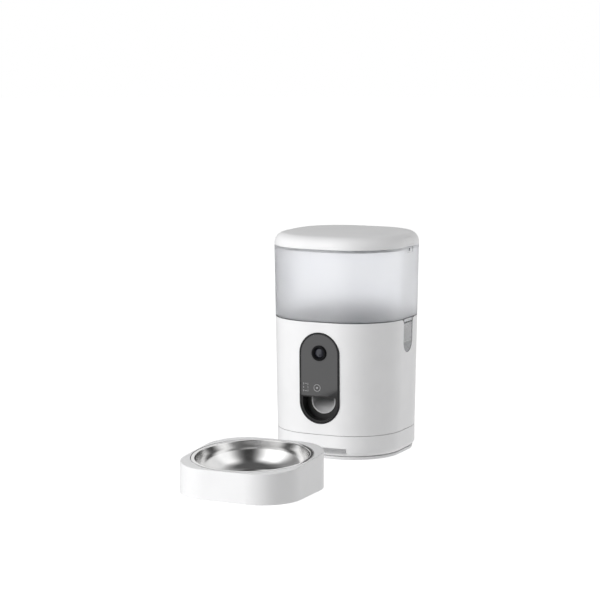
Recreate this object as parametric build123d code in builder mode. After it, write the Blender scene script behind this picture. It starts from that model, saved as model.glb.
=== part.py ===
"""Automatic pet feeder: lid, hopper, portion cup, housing, mechanism, tray and bowl.

Millimetres, +Z up. The origin is on the floor, below the middle of the body. The front,
with the camera and the food outlet, faces -Y. The bowl's tray stands in front of it and
slides back to dock against it.
"""
import os
from math import cos, pi, radians, sin, sqrt, tan

from build123d import *

# Body outline: a rounded square that widens upwards with the mould's draft
SEAM_HALF = 92.4  # half width at the seam between housing and base
SEAM_RADIUS = 74.0  # corner radius at the seam
DRAFT = 1.0  # degrees
BASE_LOW_Z = 4.8  # underside of the base cover
SEAM_Z = 35.0
RIM_Z = 193.5  # top edge of the housing
HOPPER_TOP_Z = 295.4
LID_HEIGHT = 17.4
HOUSING_WALL = 3.0
SEAM_GAP = 0.6

# Clearances
FIT = 0.3  # between pieces that lift or slide apart
SEAT = 0.2  # below a piece that rests on another
SNUG = 0.15  # between pieces that are fixed together
RUNNING = 0.05  # radial, in a bearing

# Side slots in the housing, filled by the hopper's legs
SLOT_WIDTH = 32.0
SLOT_RISE = 5.5  # slot's bottom above the deck
SLOT_FLARE = 8.0

# Upright channel in the housing's back inner wall
CHANNEL_X = 4.5
CHANNEL_WIDTH = 5.0
CHANNEL_DEPTH = 1.2

# Base
BASE_WALL = 3.0
BASE_FLOOR = 3.0
BASE_ROUND = 8.0
LIP_HEIGHT = 6.0
LIP_WALL = 1.6
PLATE_HALF = 89.4
PLATE_RADIUS = 71.0
PLATE_LOW_Z = 0.5
FOOT_RADIUS = 9.0
FOOT_RECESS = 1.2
FOOT_PITCH = 108.0
BASE_SCREW_PITCH = 59.4  # along Y, in line with the feet

# Dock between body and tray
DOCK_WIDTH = 79.0
DOCK_LOW_Z = 8.6
DOCK_HEIGHT = 8.2
DOCK_DEPTH = 18.4  # behind the body's front
DOCK_WALL = 2.0
TONGUE_LENGTH = 14.0
TONGUE_PLAY = 1.2

# Front panel with the camera and the outlet
PANEL_WIDTH = 60.6
PANEL_HEIGHT = 129.4
PANEL_RISE = 0.45  # panel's middle above the middle of the housing
BEZEL_RIM = 2.4
BEZEL_PROUD = 0.8
PANEL_THICK = 2.4
PANEL_RECESS = 0.4  # panel face below the bezel's edge
OUTLET_HEIGHT = 39.7  # outlet's top above the panel's lower end
DUCT_DEPTH = 14.0
DUCT_WALL = 1.8
CAMERA_DROP = 29.0  # camera's middle below the panel's upper end
CAMERA_RADIUS = 10.8
CAMERA_PROUD = 3.4
BARREL_EDGE = 2.0  # rim left round the barrel's bevel
BARREL_ROUND = 1.2  # round on the rim's outer edge
LENS_RADIUS = 6.6
LENS_DOME = 1.6
BOARD_WIDTH = 46.0
BOARD_DEPTH = 6.0  # board face behind the housing's skin
BOARD_RISE = 4.3  # board's lower edge above the outlet
BOARD_DROP = 5.0  # board's upper edge below its cover's top
BOARD_THICK = 1.6
COVER_WALL = 1.6
COVER_WIDTH = 67.2
COVER_DROP = 15.4  # cover's top below the hopper's plug
COVER_DEPTH = 15.2  # behind the housing's skin

# Outlet chute, a sloping half-round trough
CHUTE_RADIUS = 18.2
CHUTE_WALL = 1.7
CHUTE_LIP_RISE = 12.6  # lip above the panel's lower end
CHUTE_SLOPE = 33.0  # degrees
CHUTE_SIDE = 10.0  # straight side above the half round

# Mechanism deck and the cup's pocket
DECK_DROP = 54.0  # deck's top below the housing's rim
DECK_THICK = 3.0
LEDGE_WIDTH = 8.0
LEDGE_HEIGHT = 5.0
POCKET_WALL = 2.0
POCKET_FLOOR = 2.5
DROP_INNER = 15.0  # the food falls through a sector between two radii
DROP_ANGLE = 70.0

# Portion cup
CUP_RADIUS = 41.4
CUP_WALL = 2.0
CUP_FLOOR = 2.0
CUP_HEIGHT = 28.6
FLANGE_PLAY = 0.4  # between the flange's edge and the hopper's neck
FLANGE_THICK = 2.8
STEP_START = 30.0  # degrees from the front towards +X
STEP_SWEEP = 80.0
STEP_DEPTH = 1.25

# Rotor and gears
ROTOR_HUB = 9.0
ROTOR_HEIGHT = 18.0
PADDLES = 6
PADDLE_THICK = 2.4
ROTOR_PLAY = 0.6
HEX_ACROSS = 8.0
HEX_LENGTH = 13.0
SHAFT_RADIUS = 5.0
JOURNAL_RADIUS = 3.0
GEAR_MODULE = 1.5
ROTOR_TEETH = 16
MOTOR_TEETH = 24
GEAR_THICK = 8.0
GEAR_GAP = 2.0  # above and below the gears
GEAR_BACKLASH = 0.5
GEAR_SPREAD = 0.4  # extra centre distance
PRESSURE_ANGLE = 20.0
DEDENDUM = 1.25  # root depth of a tooth, in modules
GEAR_PLATE_THICK = 3.0
GEAR_PLATE_WIDTH = 68.0
POST_RADIUS = 3.6
POSTS = ((24.0, 0.0), (-24.0, 0.0), (25.5, 25.0), (-25.5, 25.0))
GEARBOX_RADIUS = 18.5
GEARBOX_HEIGHT = 22.0
MOTOR_RADIUS = 17.0
MOTOR_HEIGHT = 30.0
MOTOR_SHAFT_DEPTH = 12.0
MOTOR_EDGE = 0.8

# Fasteners and boards
SCREW_RADIUS = 1.4
SCREW_HEAD = 2.8
SCREW_HEAD_HEIGHT = 1.8
SCREW_LENGTH = 9.0
MAIN_BOARD = (78.0, 54.0)
MAIN_BOARD_SETBACK = 50.4  # board's middle from the body's back
STANDOFF = 6.0
STANDOFF_RADIUS = 3.5
SPEAKER_RADIUS = 16.0
SPEAKER_HEIGHT = 9.0
SPEAKER_LINE = 7.6  # the speaker lies halfway between this line and the body's left side
SPEAKER_GAP = 15.0  # speaker's middle in front of the main board
JACK_RADIUS = 3.8
JACK_BORE = 2.75
JACK_PIN = 1.0
JACK_Z = 26.5
JACK_BODY = (11.0, 13.0, 8.0)

# Hopper
HOPPER_WALL = 2.6
PLUG_HEIGHT = 5.3
NECK_RADIUS = 53.5
NECK_WALL = 2.5
NECK_RISE = 0.5  # neck's lower edge above the deck
NECK_HEIGHT = 20.0
SPOUT_RADIUS = 38.4
SPOUT_RISE = 1.9  # spout's lower edge above the deck
SPOUT_LENGTH = 5.6
FUNNEL_WALL = 2.2
ROUNDNESS = 0.98  # corner radius over half width where the funnel is all but round
WINDOW_HEIGHT = 14.0  # cut-outs in the neck collar, front and back
WINDOW_START = -25.0  # degrees from the front towards +X
WINDOW_SWEEP = 63.0
NECK_POST_SWEEP = 5.0  # upright post beside each cut-out
NECK_PROUD = 1.2  # post and ramp outside the collar
RAMP_SWEEP = 30.0
RAMP_SLOPE = 17.0  # degrees
RAMP_THICK = 1.8
PAD_WIDTH = 22.0  # thin pad with a hole near the rim, at each side
PAD_HEIGHT = 8.0
PAD_DEPTH = 0.7
PAD_DROP = 4.6
PAD_HOLE = 2.0

# Lid
LID_ROUND = 15.0
LID_WALL = 2.6
LINER_DROP = 4.2  # lip below the lid's edge
LINER_WALL = 2.0
LINER_RISE = 1.6
SEAL_HEIGHT = 2.4
SEAL_GROOVE = 1.2
LATCH_WIDTH = 24.0
LATCH_LOW = 2.4  # above the lid's edge
LATCH_HEIGHT = 10.0

# Tray and bowl
TRAY_HALF = 84.0
TRAY_RADIUS = 54.0
TRAY_TOP_Z = 45.9  # at the middle of the tray
TRAY_TILT = 3.9  # degrees, lower at the front
TRAY_APART = 126.3  # from the tray's docked place to where it stands
TRAY_WALL = 2.6
TRAY_LOW_Z = 0.4
TRAY_TOP_THICK = 5.5
TRAY_EDGE = 1.2  # round on the top's outer edge
TRAY_FOOT_RADIUS = 6.0
TRAY_FOOT_RECESS = 1.0
TRAY_FOOT_PITCH = 104.0
TRAY_BASE_THICK = 2.0
RIM_STEP = 2.5
RIM_RADIUS = 80.7
WELL_RADIUS = 78.2
LINER_THICK = 1.2
WELL_ROUND = 28.0  # round between the well's wall and its floor
BOWL_HEIGHT = 38.4
BOWL_GAUGE = 0.9
BOWL_KNEE = 73.4  # where the wall and the base would meet without the round
BOWL_ROUND = 32.0
BOWL_RIM_THICK = 2.2

# Values that follow from the sizes above
SLOPE = tan(radians(DRAFT))
CORNER = SEAM_HALF - SEAM_RADIUS
DECK_TOP_Z = RIM_Z - DECK_DROP
SLOT_BOTTOM_Z = DECK_TOP_Z + SLOT_RISE
HOPPER_LOW_Z = RIM_Z + SEAT
PLUG_LOW_Z = HOPPER_LOW_Z - PLUG_HEIGHT
PLUG_INSET = HOUSING_WALL + FIT + SNUG
NECK_LOW_Z = DECK_TOP_Z + NECK_RISE
FUNNEL_LOW_Z = NECK_LOW_Z + NECK_HEIGHT
SPOUT_LOW_Z = DECK_TOP_Z + SPOUT_RISE
SPOUT_TOP_Z = SPOUT_LOW_Z + SPOUT_LENGTH
PANEL_MID_Z = (SEAM_Z + RIM_Z) / 2 + PANEL_RISE
PANEL_TOP_Z = PANEL_MID_Z + PANEL_HEIGHT / 2
PANEL_LOW_Z = PANEL_MID_Z - PANEL_HEIGHT / 2
OUTLET_TOP_Z = PANEL_LOW_Z + OUTLET_HEIGHT
CHUTE_LIP_LOW_Z = PANEL_LOW_Z + CHUTE_LIP_RISE
CAMERA_Z = PANEL_TOP_Z - CAMERA_DROP
COVER_TOP_Z = PLUG_LOW_Z - COVER_DROP
BOARD_LOW_Z = OUTLET_TOP_Z + BOARD_RISE
BOARD_TOP_Z = COVER_TOP_Z - BOARD_DROP
MAIN_BOARD_Y = SEAM_HALF - MAIN_BOARD_SETBACK
SPEAKER_X = -(SPEAKER_LINE + SEAM_HALF) / 2
SPEAKER_Y = MAIN_BOARD_Y - MAIN_BOARD[1] / 2 - SPEAKER_GAP
FLANGE_RADIUS = NECK_RADIUS - NECK_WALL - FLANGE_PLAY
POCKET_RADIUS = CUP_RADIUS + FIT
CUP_LOW_Z = DECK_TOP_Z + SEAT + FLANGE_THICK - CUP_HEIGHT
POCKET_TOP_Z = CUP_LOW_Z - FIT
POCKET_LOW_Z = POCKET_TOP_Z - POCKET_FLOOR
GEAR_TOP_Z = POCKET_LOW_Z - GEAR_GAP
GEAR_LOW_Z = GEAR_TOP_Z - GEAR_THICK
GEAR_PLATE_TOP_Z = GEAR_LOW_Z - GEAR_GAP
GEAR_PLATE_LOW_Z = GEAR_PLATE_TOP_Z - GEAR_PLATE_THICK
MOTOR_Y = GEAR_MODULE * (ROTOR_TEETH + MOTOR_TEETH) / 2 + GEAR_SPREAD
ROTOR_LOW_Z = CUP_LOW_Z + CUP_FLOOR + ROTOR_PLAY
CUP_BORE = CUP_RADIUS - CUP_WALL
DROP_OUTER = CUP_BORE - ROTOR_PLAY
LID_LOW_Z = HOPPER_TOP_Z + SEAT
LID_TOP_Z = LID_LOW_Z + LID_HEIGHT
CHUTE_REAR_Y = -DROP_INNER
DOCK_BACK_Y = DOCK_DEPTH - SEAM_HALF
TILT = radians(TRAY_TILT)


def half_at(z):
    """Half width of the outer skin at a height."""
    return SEAM_HALF + (z - SEAM_Z) * SLOPE


def skin(inset, low, high, mode=Mode.ADD):
    """Block between two heights that follows the drafted outer skin, inset from it."""
    half = half_at(low) - inset
    with BuildSketch(Plane.XY.offset(low)) as outline:
        RectangleRounded(2 * half, 2 * half, half - CORNER)
    extrude(outline.sketch, amount=high - low, taper=-DRAFT, mode=mode)


def prism(half, radius, low, high, mode=Mode.ADD, y=0.0):
    """Upright rounded square block."""
    with BuildSketch(Plane.XY.offset(low)) as outline:
        with Locations((0, y)):
            RectangleRounded(2 * half, 2 * half, radius)
    extrude(outline.sketch, amount=high - low, mode=mode)


def disc(radius, low, high, mode=Mode.ADD, x=0.0, y=0.0):
    """Upright cylinder between two heights."""
    with BuildSketch(Plane.XY.offset(low)) as outline:
        with Locations((x, y)):
            Circle(radius)
    extrude(outline.sketch, amount=high - low, mode=mode)


def block(x_low, x_high, y_low, y_high, z_low, z_high, mode=Mode.ADD):
    """Box given by its faces."""
    centre = ((x_low + x_high) / 2, (y_low + y_high) / 2, (z_low + z_high) / 2)
    with Locations(centre):
        Box(x_high - x_low, y_high - y_low, z_high - z_low, mode=mode)


def sector(inner, outer, middle, sweep, low, high, mode=Mode.ADD):
    """Upright ring sector, its angles in degrees counted from the front towards +X."""
    start = middle - sweep / 2 - 90
    with BuildSketch(Plane.XY.offset(low)) as outline:
        with BuildLine():
            outside = CenterArc((0, 0), outer, start, sweep)
            inside = CenterArc((0, 0), inner, start, sweep)
            Line(outside @ 0, inside @ 0)
            Line(outside @ 1, inside @ 1)
        make_face()
    extrude(outline.sketch, amount=high - low, mode=mode)


def screws(places, top, head_up):
    """Pan-head screws at the places, with the head's seat at a height."""
    turn = 1 if head_up else -1
    for x, y in places:
        with BuildSketch(Plane.XY.offset(top)) as head:
            with Locations((x, y)):
                Circle(SCREW_HEAD)
        extrude(head.sketch, amount=turn * SCREW_HEAD_HEIGHT)
        with BuildSketch(Plane.XY.offset(top)) as shank:
            with Locations((x, y)):
                Circle(SCREW_RADIUS)
        extrude(shank.sketch, amount=-turn * SCREW_LENGTH)


def gear_points(teeth, first):
    """Outline of a spur gear, four points a tooth, with its first tooth at an angle."""
    pitch = GEAR_MODULE * teeth / 2
    tip = pitch + GEAR_MODULE
    root = pitch - DEDENDUM * GEAR_MODULE
    lean = tan(radians(PRESSURE_ANGLE))
    at_pitch = pi / (2 * teeth) - GEAR_BACKLASH / (2 * pitch)
    at_tip = at_pitch - (tip - pitch) * lean / tip
    at_root = at_pitch + (pitch - root) * lean / root
    points = []
    for tooth in range(teeth):
        middle = radians(first) + 2 * pi * tooth / teeth
        for radius, turn in ((root, -at_root), (tip, -at_tip), (tip, at_tip), (root, at_root)):
            points.append((radius * cos(middle + turn), radius * sin(middle + turn)))
    return points


def gear(teeth, first, y=0.0):
    """Spur gear between the gear train's two heights."""
    with BuildSketch(Plane.XY.offset(GEAR_LOW_Z)) as outline:
        with Locations((0, y)):
            Polygon(*gear_points(teeth, first), align=None)
    extrude(outline.sketch, amount=GEAR_THICK)


def stadium(plane, inset, depth, mode=Mode.ADD):
    """Panel outline, inset, extruded along the plane's normal."""
    with BuildSketch(plane) as outline:
        SlotOverall(PANEL_HEIGHT - 2 * inset, PANEL_WIDTH - 2 * inset, rotation=90)
    extrude(outline.sketch, amount=depth, mode=mode)


def on_front(height):
    """Plane that lies on the drafted front wall, its origin at a height."""
    outward = (0, -cos(radians(DRAFT)), -sin(radians(DRAFT)))
    return Plane(origin=(0, -half_at(height), height), x_dir=(1, 0, 0), z_dir=outward)


FRONT = on_front(PANEL_MID_Z)
EYE = on_front(CAMERA_Z)
LEDGE_TOP_Z = DECK_TOP_Z - DECK_THICK
LEDGE_MID_RADIUS = half_at(LEDGE_TOP_Z) - CORNER - HOUSING_WALL - LEDGE_WIDTH / 2
DECK_SCREW_ARM = CORNER + LEDGE_MID_RADIUS * cos(pi / 4)
DECK_SCREWS = [(sx * DECK_SCREW_ARM, sy * DECK_SCREW_ARM) for sx in (1, -1) for sy in (1, -1)]
INNER_RADIUS = half_at(DECK_TOP_Z) - CORNER - HOUSING_WALL
COVER_BACK_Y = COVER_DEPTH - half_at(DECK_TOP_Z)
COVER_FRONT_Y = 2 * FIT - CORNER - sqrt(INNER_RADIUS**2 - (COVER_WIDTH / 2 - CORNER) ** 2)
CHUTE_LIP_Y = -(half_at(OUTLET_TOP_Z) - DUCT_DEPTH)
CHUTE_LIP_MID_Z = CHUTE_LIP_LOW_Z + CHUTE_RADIUS
CHUTE_RUN = CHUTE_REAR_Y - CHUTE_LIP_Y
CHUTE_REAR_MID_Z = CHUTE_LIP_MID_Z + CHUTE_RUN * tan(radians(CHUTE_SLOPE))


def trough(radius, side, mode=Mode.ADD):
    """Half-round channel with straight sides, from the rear down to the outlet."""
    with BuildSketch(Plane.XZ.offset(-CHUTE_REAR_Y)) as outline:
        with Locations((0, CHUTE_REAR_MID_Z)):
            Circle(radius)
        with Locations((0, CHUTE_REAR_MID_Z + side / 2)):
            Rectangle(2 * radius, side)
    reach = CHUTE_RUN / cos(radians(CHUTE_SLOPE))
    way = (0, -cos(radians(CHUTE_SLOPE)), -sin(radians(CHUTE_SLOPE)))
    extrude(outline.sketch, amount=reach, dir=way, mode=mode)


def side_profile(width, bottom, top):
    """U-shaped outline in the side view, for the slots and the legs that fill them."""
    radius = width / 2
    with BuildSketch(Plane.YZ) as outline:
        with Locations((0, bottom + radius)):
            Circle(radius)
        with Locations((0, (bottom + radius + top) / 2)):
            Rectangle(width, top - bottom - radius)
    return outline.sketch


# Main housing: the shell, a ledge for the deck, two side slots and the panel's opening
with BuildPart() as main_housing:
    skin(0, SEAM_Z, RIM_Z)
    skin(HOUSING_WALL, SEAM_Z, RIM_Z, Mode.SUBTRACT)
    skin(HOUSING_WALL / 2, LEDGE_TOP_Z - LEDGE_HEIGHT, LEDGE_TOP_Z)
    skin(HOUSING_WALL + LEDGE_WIDTH, LEDGE_TOP_Z - LEDGE_HEIGHT, LEDGE_TOP_Z, Mode.SUBTRACT)
    ledge_back_y = -(half_at(LEDGE_TOP_Z) - HOUSING_WALL)
    ledge_low_z = LEDGE_TOP_Z - LEDGE_HEIGHT
    gate = COVER_WIDTH / 2
    block(-gate, gate, ledge_back_y, ledge_back_y + 2 * LEDGE_WIDTH, ledge_low_z, LEDGE_TOP_Z, Mode.SUBTRACT)
    slot_outline = side_profile(SLOT_WIDTH, SLOT_BOTTOM_Z, RIM_Z)
    extrude(slot_outline, amount=2 * SEAM_HALF, both=True, mode=Mode.SUBTRACT)
    slot_edges = main_housing.edges().filter_by(Axis.X).group_by(Axis.Z)[-1]
    fillet(slot_edges.filter_by(lambda edge: edge.length < 2 * HOUSING_WALL), SLOT_FLARE)
    channel_low_x = CHANNEL_X - CHANNEL_WIDTH / 2
    channel_high_x = CHANNEL_X + CHANNEL_WIDTH / 2
    channel_y = half_at(RIM_Z) - HOUSING_WALL + CHANNEL_DEPTH
    block(channel_low_x, channel_high_x, 0, channel_y, DECK_TOP_Z, RIM_Z, Mode.SUBTRACT)
    stadium(FRONT.offset(-2 * HOUSING_WALL), -SNUG, 3 * HOUSING_WALL, Mode.SUBTRACT)
    for screw_x, screw_y in DECK_SCREWS:
        disc(SCREW_RADIUS + RUNNING, ledge_low_z, LEDGE_TOP_Z, Mode.SUBTRACT, screw_x, screw_y)

# Base cover: a pan with a rounded lower edge, a lip inside the seam and the dock pocket
BASE_TOP_Z = SEAM_Z - SEAM_GAP
BASE_FLOOR_Z = BASE_LOW_Z + BASE_FLOOR
BOARD_PLACES = [
    (sx * (MAIN_BOARD[0] / 2 - STANDOFF_RADIUS), MAIN_BOARD_Y + sy * (MAIN_BOARD[1] / 2 - STANDOFF_RADIUS))
    for sx in (1, -1)
    for sy in (1, -1)
]
BASE_SCREWS = [(sx * FOOT_PITCH / 2, sy * BASE_SCREW_PITCH / 2) for sx in (1, -1) for sy in (1, -1)]

with BuildPart() as base_form:
    prism(SEAM_HALF, SEAM_RADIUS, BASE_LOW_Z, BASE_TOP_Z)
    fillet(base_form.faces().sort_by(Axis.Z)[0].edges(), BASE_ROUND)

with BuildPart() as base_cavity:
    prism(SEAM_HALF - BASE_WALL, SEAM_RADIUS - BASE_WALL, BASE_FLOOR_Z, BASE_TOP_Z)
    fillet(base_cavity.faces().sort_by(Axis.Z)[0].edges(), BASE_ROUND - BASE_WALL)

with BuildPart() as dock_pocket:
    dock_half = DOCK_WIDTH / 2
    dock_top_z = DOCK_LOW_Z + DOCK_HEIGHT
    block(
        -dock_half - DOCK_WALL,
        dock_half + DOCK_WALL,
        -SEAM_HALF,
        DOCK_BACK_Y + DOCK_WALL,
        BASE_FLOOR_Z - BASE_FLOOR / 2,
        dock_top_z + DOCK_WALL,
    )
    add(base_form.part, mode=Mode.INTERSECT)

with BuildPart() as base_cover:
    add(base_form.part)
    add(base_cavity.part, mode=Mode.SUBTRACT)
    lip_half = SEAM_HALF - HOUSING_WALL - FIT
    lip_low_z = BASE_TOP_Z - LIP_HEIGHT / 2
    lip_top_z = BASE_TOP_Z + LIP_HEIGHT / 2
    prism(SEAM_HALF - BASE_WALL / 2, SEAM_RADIUS - BASE_WALL / 2, lip_low_z, BASE_TOP_Z)
    prism(lip_half, lip_half - CORNER, BASE_TOP_Z, lip_top_z)
    prism(lip_half - LIP_WALL, lip_half - LIP_WALL - CORNER, lip_low_z, lip_top_z, Mode.SUBTRACT)
    add(dock_pocket.part)
    block(-dock_half, dock_half, -SEAM_HALF, DOCK_BACK_Y, DOCK_LOW_Z, dock_top_z, Mode.SUBTRACT)
    stand_low_z = BASE_FLOOR_Z - BASE_FLOOR / 2
    for stand_x, stand_y in BOARD_PLACES:
        disc(STANDOFF_RADIUS, stand_low_z, BASE_FLOOR_Z + STANDOFF, Mode.ADD, stand_x, stand_y)
    with BuildSketch(Plane.XZ.offset(-SEAM_HALF)) as jack_hole:
        with Locations((0, JACK_Z)):
            Circle(JACK_RADIUS + SNUG)
    extrude(jack_hole.sketch, amount=2 * BASE_WALL, both=True, mode=Mode.SUBTRACT)
    for screw_x, screw_y in BASE_SCREWS:
        disc(SCREW_RADIUS + RUNNING, BASE_LOW_Z, BASE_FLOOR_Z, Mode.SUBTRACT, screw_x, screw_y)

FEET = [(sx * FOOT_PITCH / 2, sy * FOOT_PITCH / 2) for sx in (1, -1) for sy in (1, -1)]
PLATE_TOP_Z = BASE_LOW_Z

with BuildPart() as base_plate:
    prism(PLATE_HALF, PLATE_RADIUS, PLATE_LOW_Z, PLATE_TOP_Z)
    fillet(base_plate.faces().sort_by(Axis.Z)[0].edges(), (PLATE_TOP_Z - PLATE_LOW_Z) / 2)
    for foot_x, foot_y in FEET:
        disc(FOOT_RADIUS + SNUG, PLATE_LOW_Z, PLATE_LOW_Z + FOOT_RECESS, Mode.SUBTRACT, foot_x, foot_y)
    for screw_x, screw_y in BASE_SCREWS:
        disc(SCREW_RADIUS + RUNNING, PLATE_LOW_Z, PLATE_TOP_Z, Mode.SUBTRACT, screw_x, screw_y)
        disc(SCREW_HEAD + SNUG, PLATE_LOW_Z, PLATE_LOW_Z + SCREW_HEAD_HEIGHT, Mode.SUBTRACT, screw_x, screw_y)

with BuildPart() as rubber_feet:
    for foot_x, foot_y in FEET:
        disc(FOOT_RADIUS, 0, PLATE_LOW_Z + FOOT_RECESS, Mode.ADD, foot_x, foot_y)
    chamfer(rubber_feet.edges().group_by(Axis.Z)[0], FOOT_RECESS / 2)

with BuildPart() as base_screws:
    screws(BASE_SCREWS, PLATE_LOW_Z + SCREW_HEAD_HEIGHT, False)

# Front bezel, panel, camera and the boards behind them
with BuildPart() as front_bezel:
    stadium(FRONT.offset(-HOUSING_WALL), 0, HOUSING_WALL + BEZEL_PROUD)
    stadium(FRONT.offset(-HOUSING_WALL), BEZEL_RIM, HOUSING_WALL + BEZEL_PROUD, Mode.SUBTRACT)
    front_edges = front_bezel.faces().sort_by(Axis.Y)[0].edges()
    fillet(front_edges, BEZEL_PROUD / 2)

PANEL_FACE = BEZEL_PROUD - PANEL_RECESS

with BuildPart() as front_panel:
    stadium(FRONT.offset(PANEL_FACE - PANEL_THICK), BEZEL_RIM + SNUG, PANEL_THICK)
    reach = 2 * half_at(PANEL_TOP_Z)
    block(-reach, reach, -reach, 0, 0, OUTLET_TOP_Z, Mode.SUBTRACT)
    with BuildSketch(EYE.offset(-HOUSING_WALL)) as eye_hole:
        Circle(CAMERA_RADIUS + SNUG)
    extrude(eye_hole.sketch, amount=2 * HOUSING_WALL, mode=Mode.SUBTRACT)

with BuildPart() as camera_barrel:
    with BuildSketch(EYE.offset(-BOARD_DEPTH + SNUG)) as barrel_outline:
        Circle(CAMERA_RADIUS)
        Circle(LENS_RADIUS + SNUG, mode=Mode.SUBTRACT)
    extrude(barrel_outline.sketch, amount=BOARD_DEPTH - SNUG + CAMERA_PROUD)
    barrel_front = camera_barrel.faces().sort_by(Axis.Y)[0].edges().sort_by(SortBy.LENGTH)
    chamfer(barrel_front[0], CAMERA_RADIUS - LENS_RADIUS - 2 * SNUG - BARREL_EDGE)
    fillet(barrel_front[-1], BARREL_ROUND)

with BuildPart() as camera_lens:
    dome_radius = (LENS_RADIUS**2 + LENS_DOME**2) / (2 * LENS_DOME)
    lens_back = EYE.offset(-BOARD_DEPTH + SNUG)
    edge_height = BOARD_DEPTH - SNUG - LENS_DOME + CAMERA_PROUD / 2
    with BuildSketch(Plane(lens_back.origin, x_dir=(1, 0, 0), z_dir=-lens_back.y_dir)) as lens_half:
        with BuildLine():
            Line((0, 0), (LENS_RADIUS, 0))
            Line((LENS_RADIUS, 0), (LENS_RADIUS, edge_height))
            RadiusArc((LENS_RADIUS, edge_height), (0, edge_height + LENS_DOME), -dome_radius)
            Line((0, edge_height + LENS_DOME), (0, 0))
        make_face()
    revolve(lens_half.sketch, axis=Axis(lens_back.origin, lens_back.z_dir))

with BuildPart() as touch_board:
    board_mid_z = (BOARD_LOW_Z + BOARD_TOP_Z) / 2
    with BuildSketch(on_front(board_mid_z).offset(-BOARD_DEPTH)) as board_outline:
        RectangleRounded(BOARD_WIDTH, BOARD_TOP_Z - BOARD_LOW_Z, BEZEL_RIM)
    extrude(board_outline.sketch, amount=-BOARD_THICK)

with BuildPart() as camera_module:
    with BuildSketch(EYE.offset(-BOARD_DEPTH - BOARD_THICK - SNUG)) as module_outline:
        Rectangle(2 * CAMERA_RADIUS, 2 * CAMERA_RADIUS)
    extrude(module_outline.sketch, amount=-BOARD_THICK)

with BuildPart() as electronics_cover:
    cover_half = COVER_WIDTH / 2 - COVER_WALL
    cover_low_z = DECK_TOP_Z + SEAT
    block(-cover_half, cover_half, COVER_FRONT_Y, COVER_BACK_Y, cover_low_z, COVER_TOP_Z)
    fillet(electronics_cover.edges().filter_by(Axis.Z).group_by(Axis.Y)[-1], 2 * COVER_WALL)
    cover_inner = cover_half - COVER_WALL
    cover_inner_y = COVER_BACK_Y - COVER_WALL
    cover_roof_z = COVER_TOP_Z - COVER_WALL
    block(-cover_inner, cover_inner, COVER_FRONT_Y, cover_inner_y, cover_low_z, cover_roof_z, Mode.SUBTRACT)

# Outlet duct: the black recess below the panel, with a U-shaped hole for the chute
with BuildPart() as outlet_duct:
    duct_low = FRONT.offset(-DUCT_DEPTH - DUCT_WALL)
    stadium(duct_low, BEZEL_RIM + SNUG, DUCT_DEPTH + DUCT_WALL)
    stadium(FRONT.offset(-DUCT_DEPTH), BEZEL_RIM + SNUG + DUCT_WALL, DUCT_DEPTH, Mode.SUBTRACT)
    duct_roof_z = OUTLET_TOP_Z - SNUG
    reach = 2 * half_at(PANEL_TOP_Z)
    block(-reach, reach, -reach, 0, duct_roof_z, 2 * PANEL_TOP_Z, Mode.SUBTRACT)
    roof_half = PANEL_WIDTH / 2 - BEZEL_RIM - SNUG
    roof_front_y = -half_at(duct_roof_z) + PANEL_RECESS
    roof_low_z = duct_roof_z - DUCT_WALL
    block(-roof_half, roof_half, roof_front_y, roof_front_y + DUCT_DEPTH, roof_low_z, duct_roof_z)
    trough(CHUTE_RADIUS + SNUG, CHUTE_SIDE, Mode.SUBTRACT)

with BuildPart() as outlet_chute:
    trough(CHUTE_RADIUS, CHUTE_SIDE)
    trough(CHUTE_RADIUS - CHUTE_WALL, 2 * CHUTE_RADIUS, Mode.SUBTRACT)
    ceiling_z = POCKET_LOW_Z - SNUG
    block(-2 * CHUTE_RADIUS, 2 * CHUTE_RADIUS, CHUTE_LIP_Y, 0, ceiling_z, 2 * ceiling_z, Mode.SUBTRACT)

# Mechanism deck: plate, cup pocket with its drop hole, and posts for the gear plate
with BuildPart() as mechanism_deck:
    skin(HOUSING_WALL + FIT, LEDGE_TOP_Z, DECK_TOP_Z)
    deck_notch_y = COVER_BACK_Y - COVER_WALL
    block(-gate, gate, -SEAM_HALF, deck_notch_y, LEDGE_TOP_Z, DECK_TOP_Z, Mode.SUBTRACT)
    disc(POCKET_RADIUS + POCKET_WALL, POCKET_LOW_Z, DECK_TOP_Z)
    disc(POCKET_RADIUS, POCKET_TOP_Z, DECK_TOP_Z, Mode.SUBTRACT)
    sector(DROP_INNER, DROP_OUTER, 0, DROP_ANGLE, POCKET_LOW_Z, POCKET_TOP_Z, Mode.SUBTRACT)
    disc(SHAFT_RADIUS + RUNNING, POCKET_LOW_Z, POCKET_TOP_Z, Mode.SUBTRACT)
    for post_x, post_y in POSTS:
        disc(POST_RADIUS, GEAR_PLATE_TOP_Z, POCKET_LOW_Z, Mode.ADD, post_x, post_y)
        disc(SCREW_RADIUS + RUNNING, GEAR_PLATE_TOP_Z, POCKET_LOW_Z, Mode.SUBTRACT, post_x, post_y)
    for screw_x, screw_y in DECK_SCREWS:
        disc(SCREW_RADIUS + RUNNING, LEDGE_TOP_Z, DECK_TOP_Z, Mode.SUBTRACT, screw_x, screw_y)

with BuildPart() as deck_screws:
    screws(DECK_SCREWS, DECK_TOP_Z, True)

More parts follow.
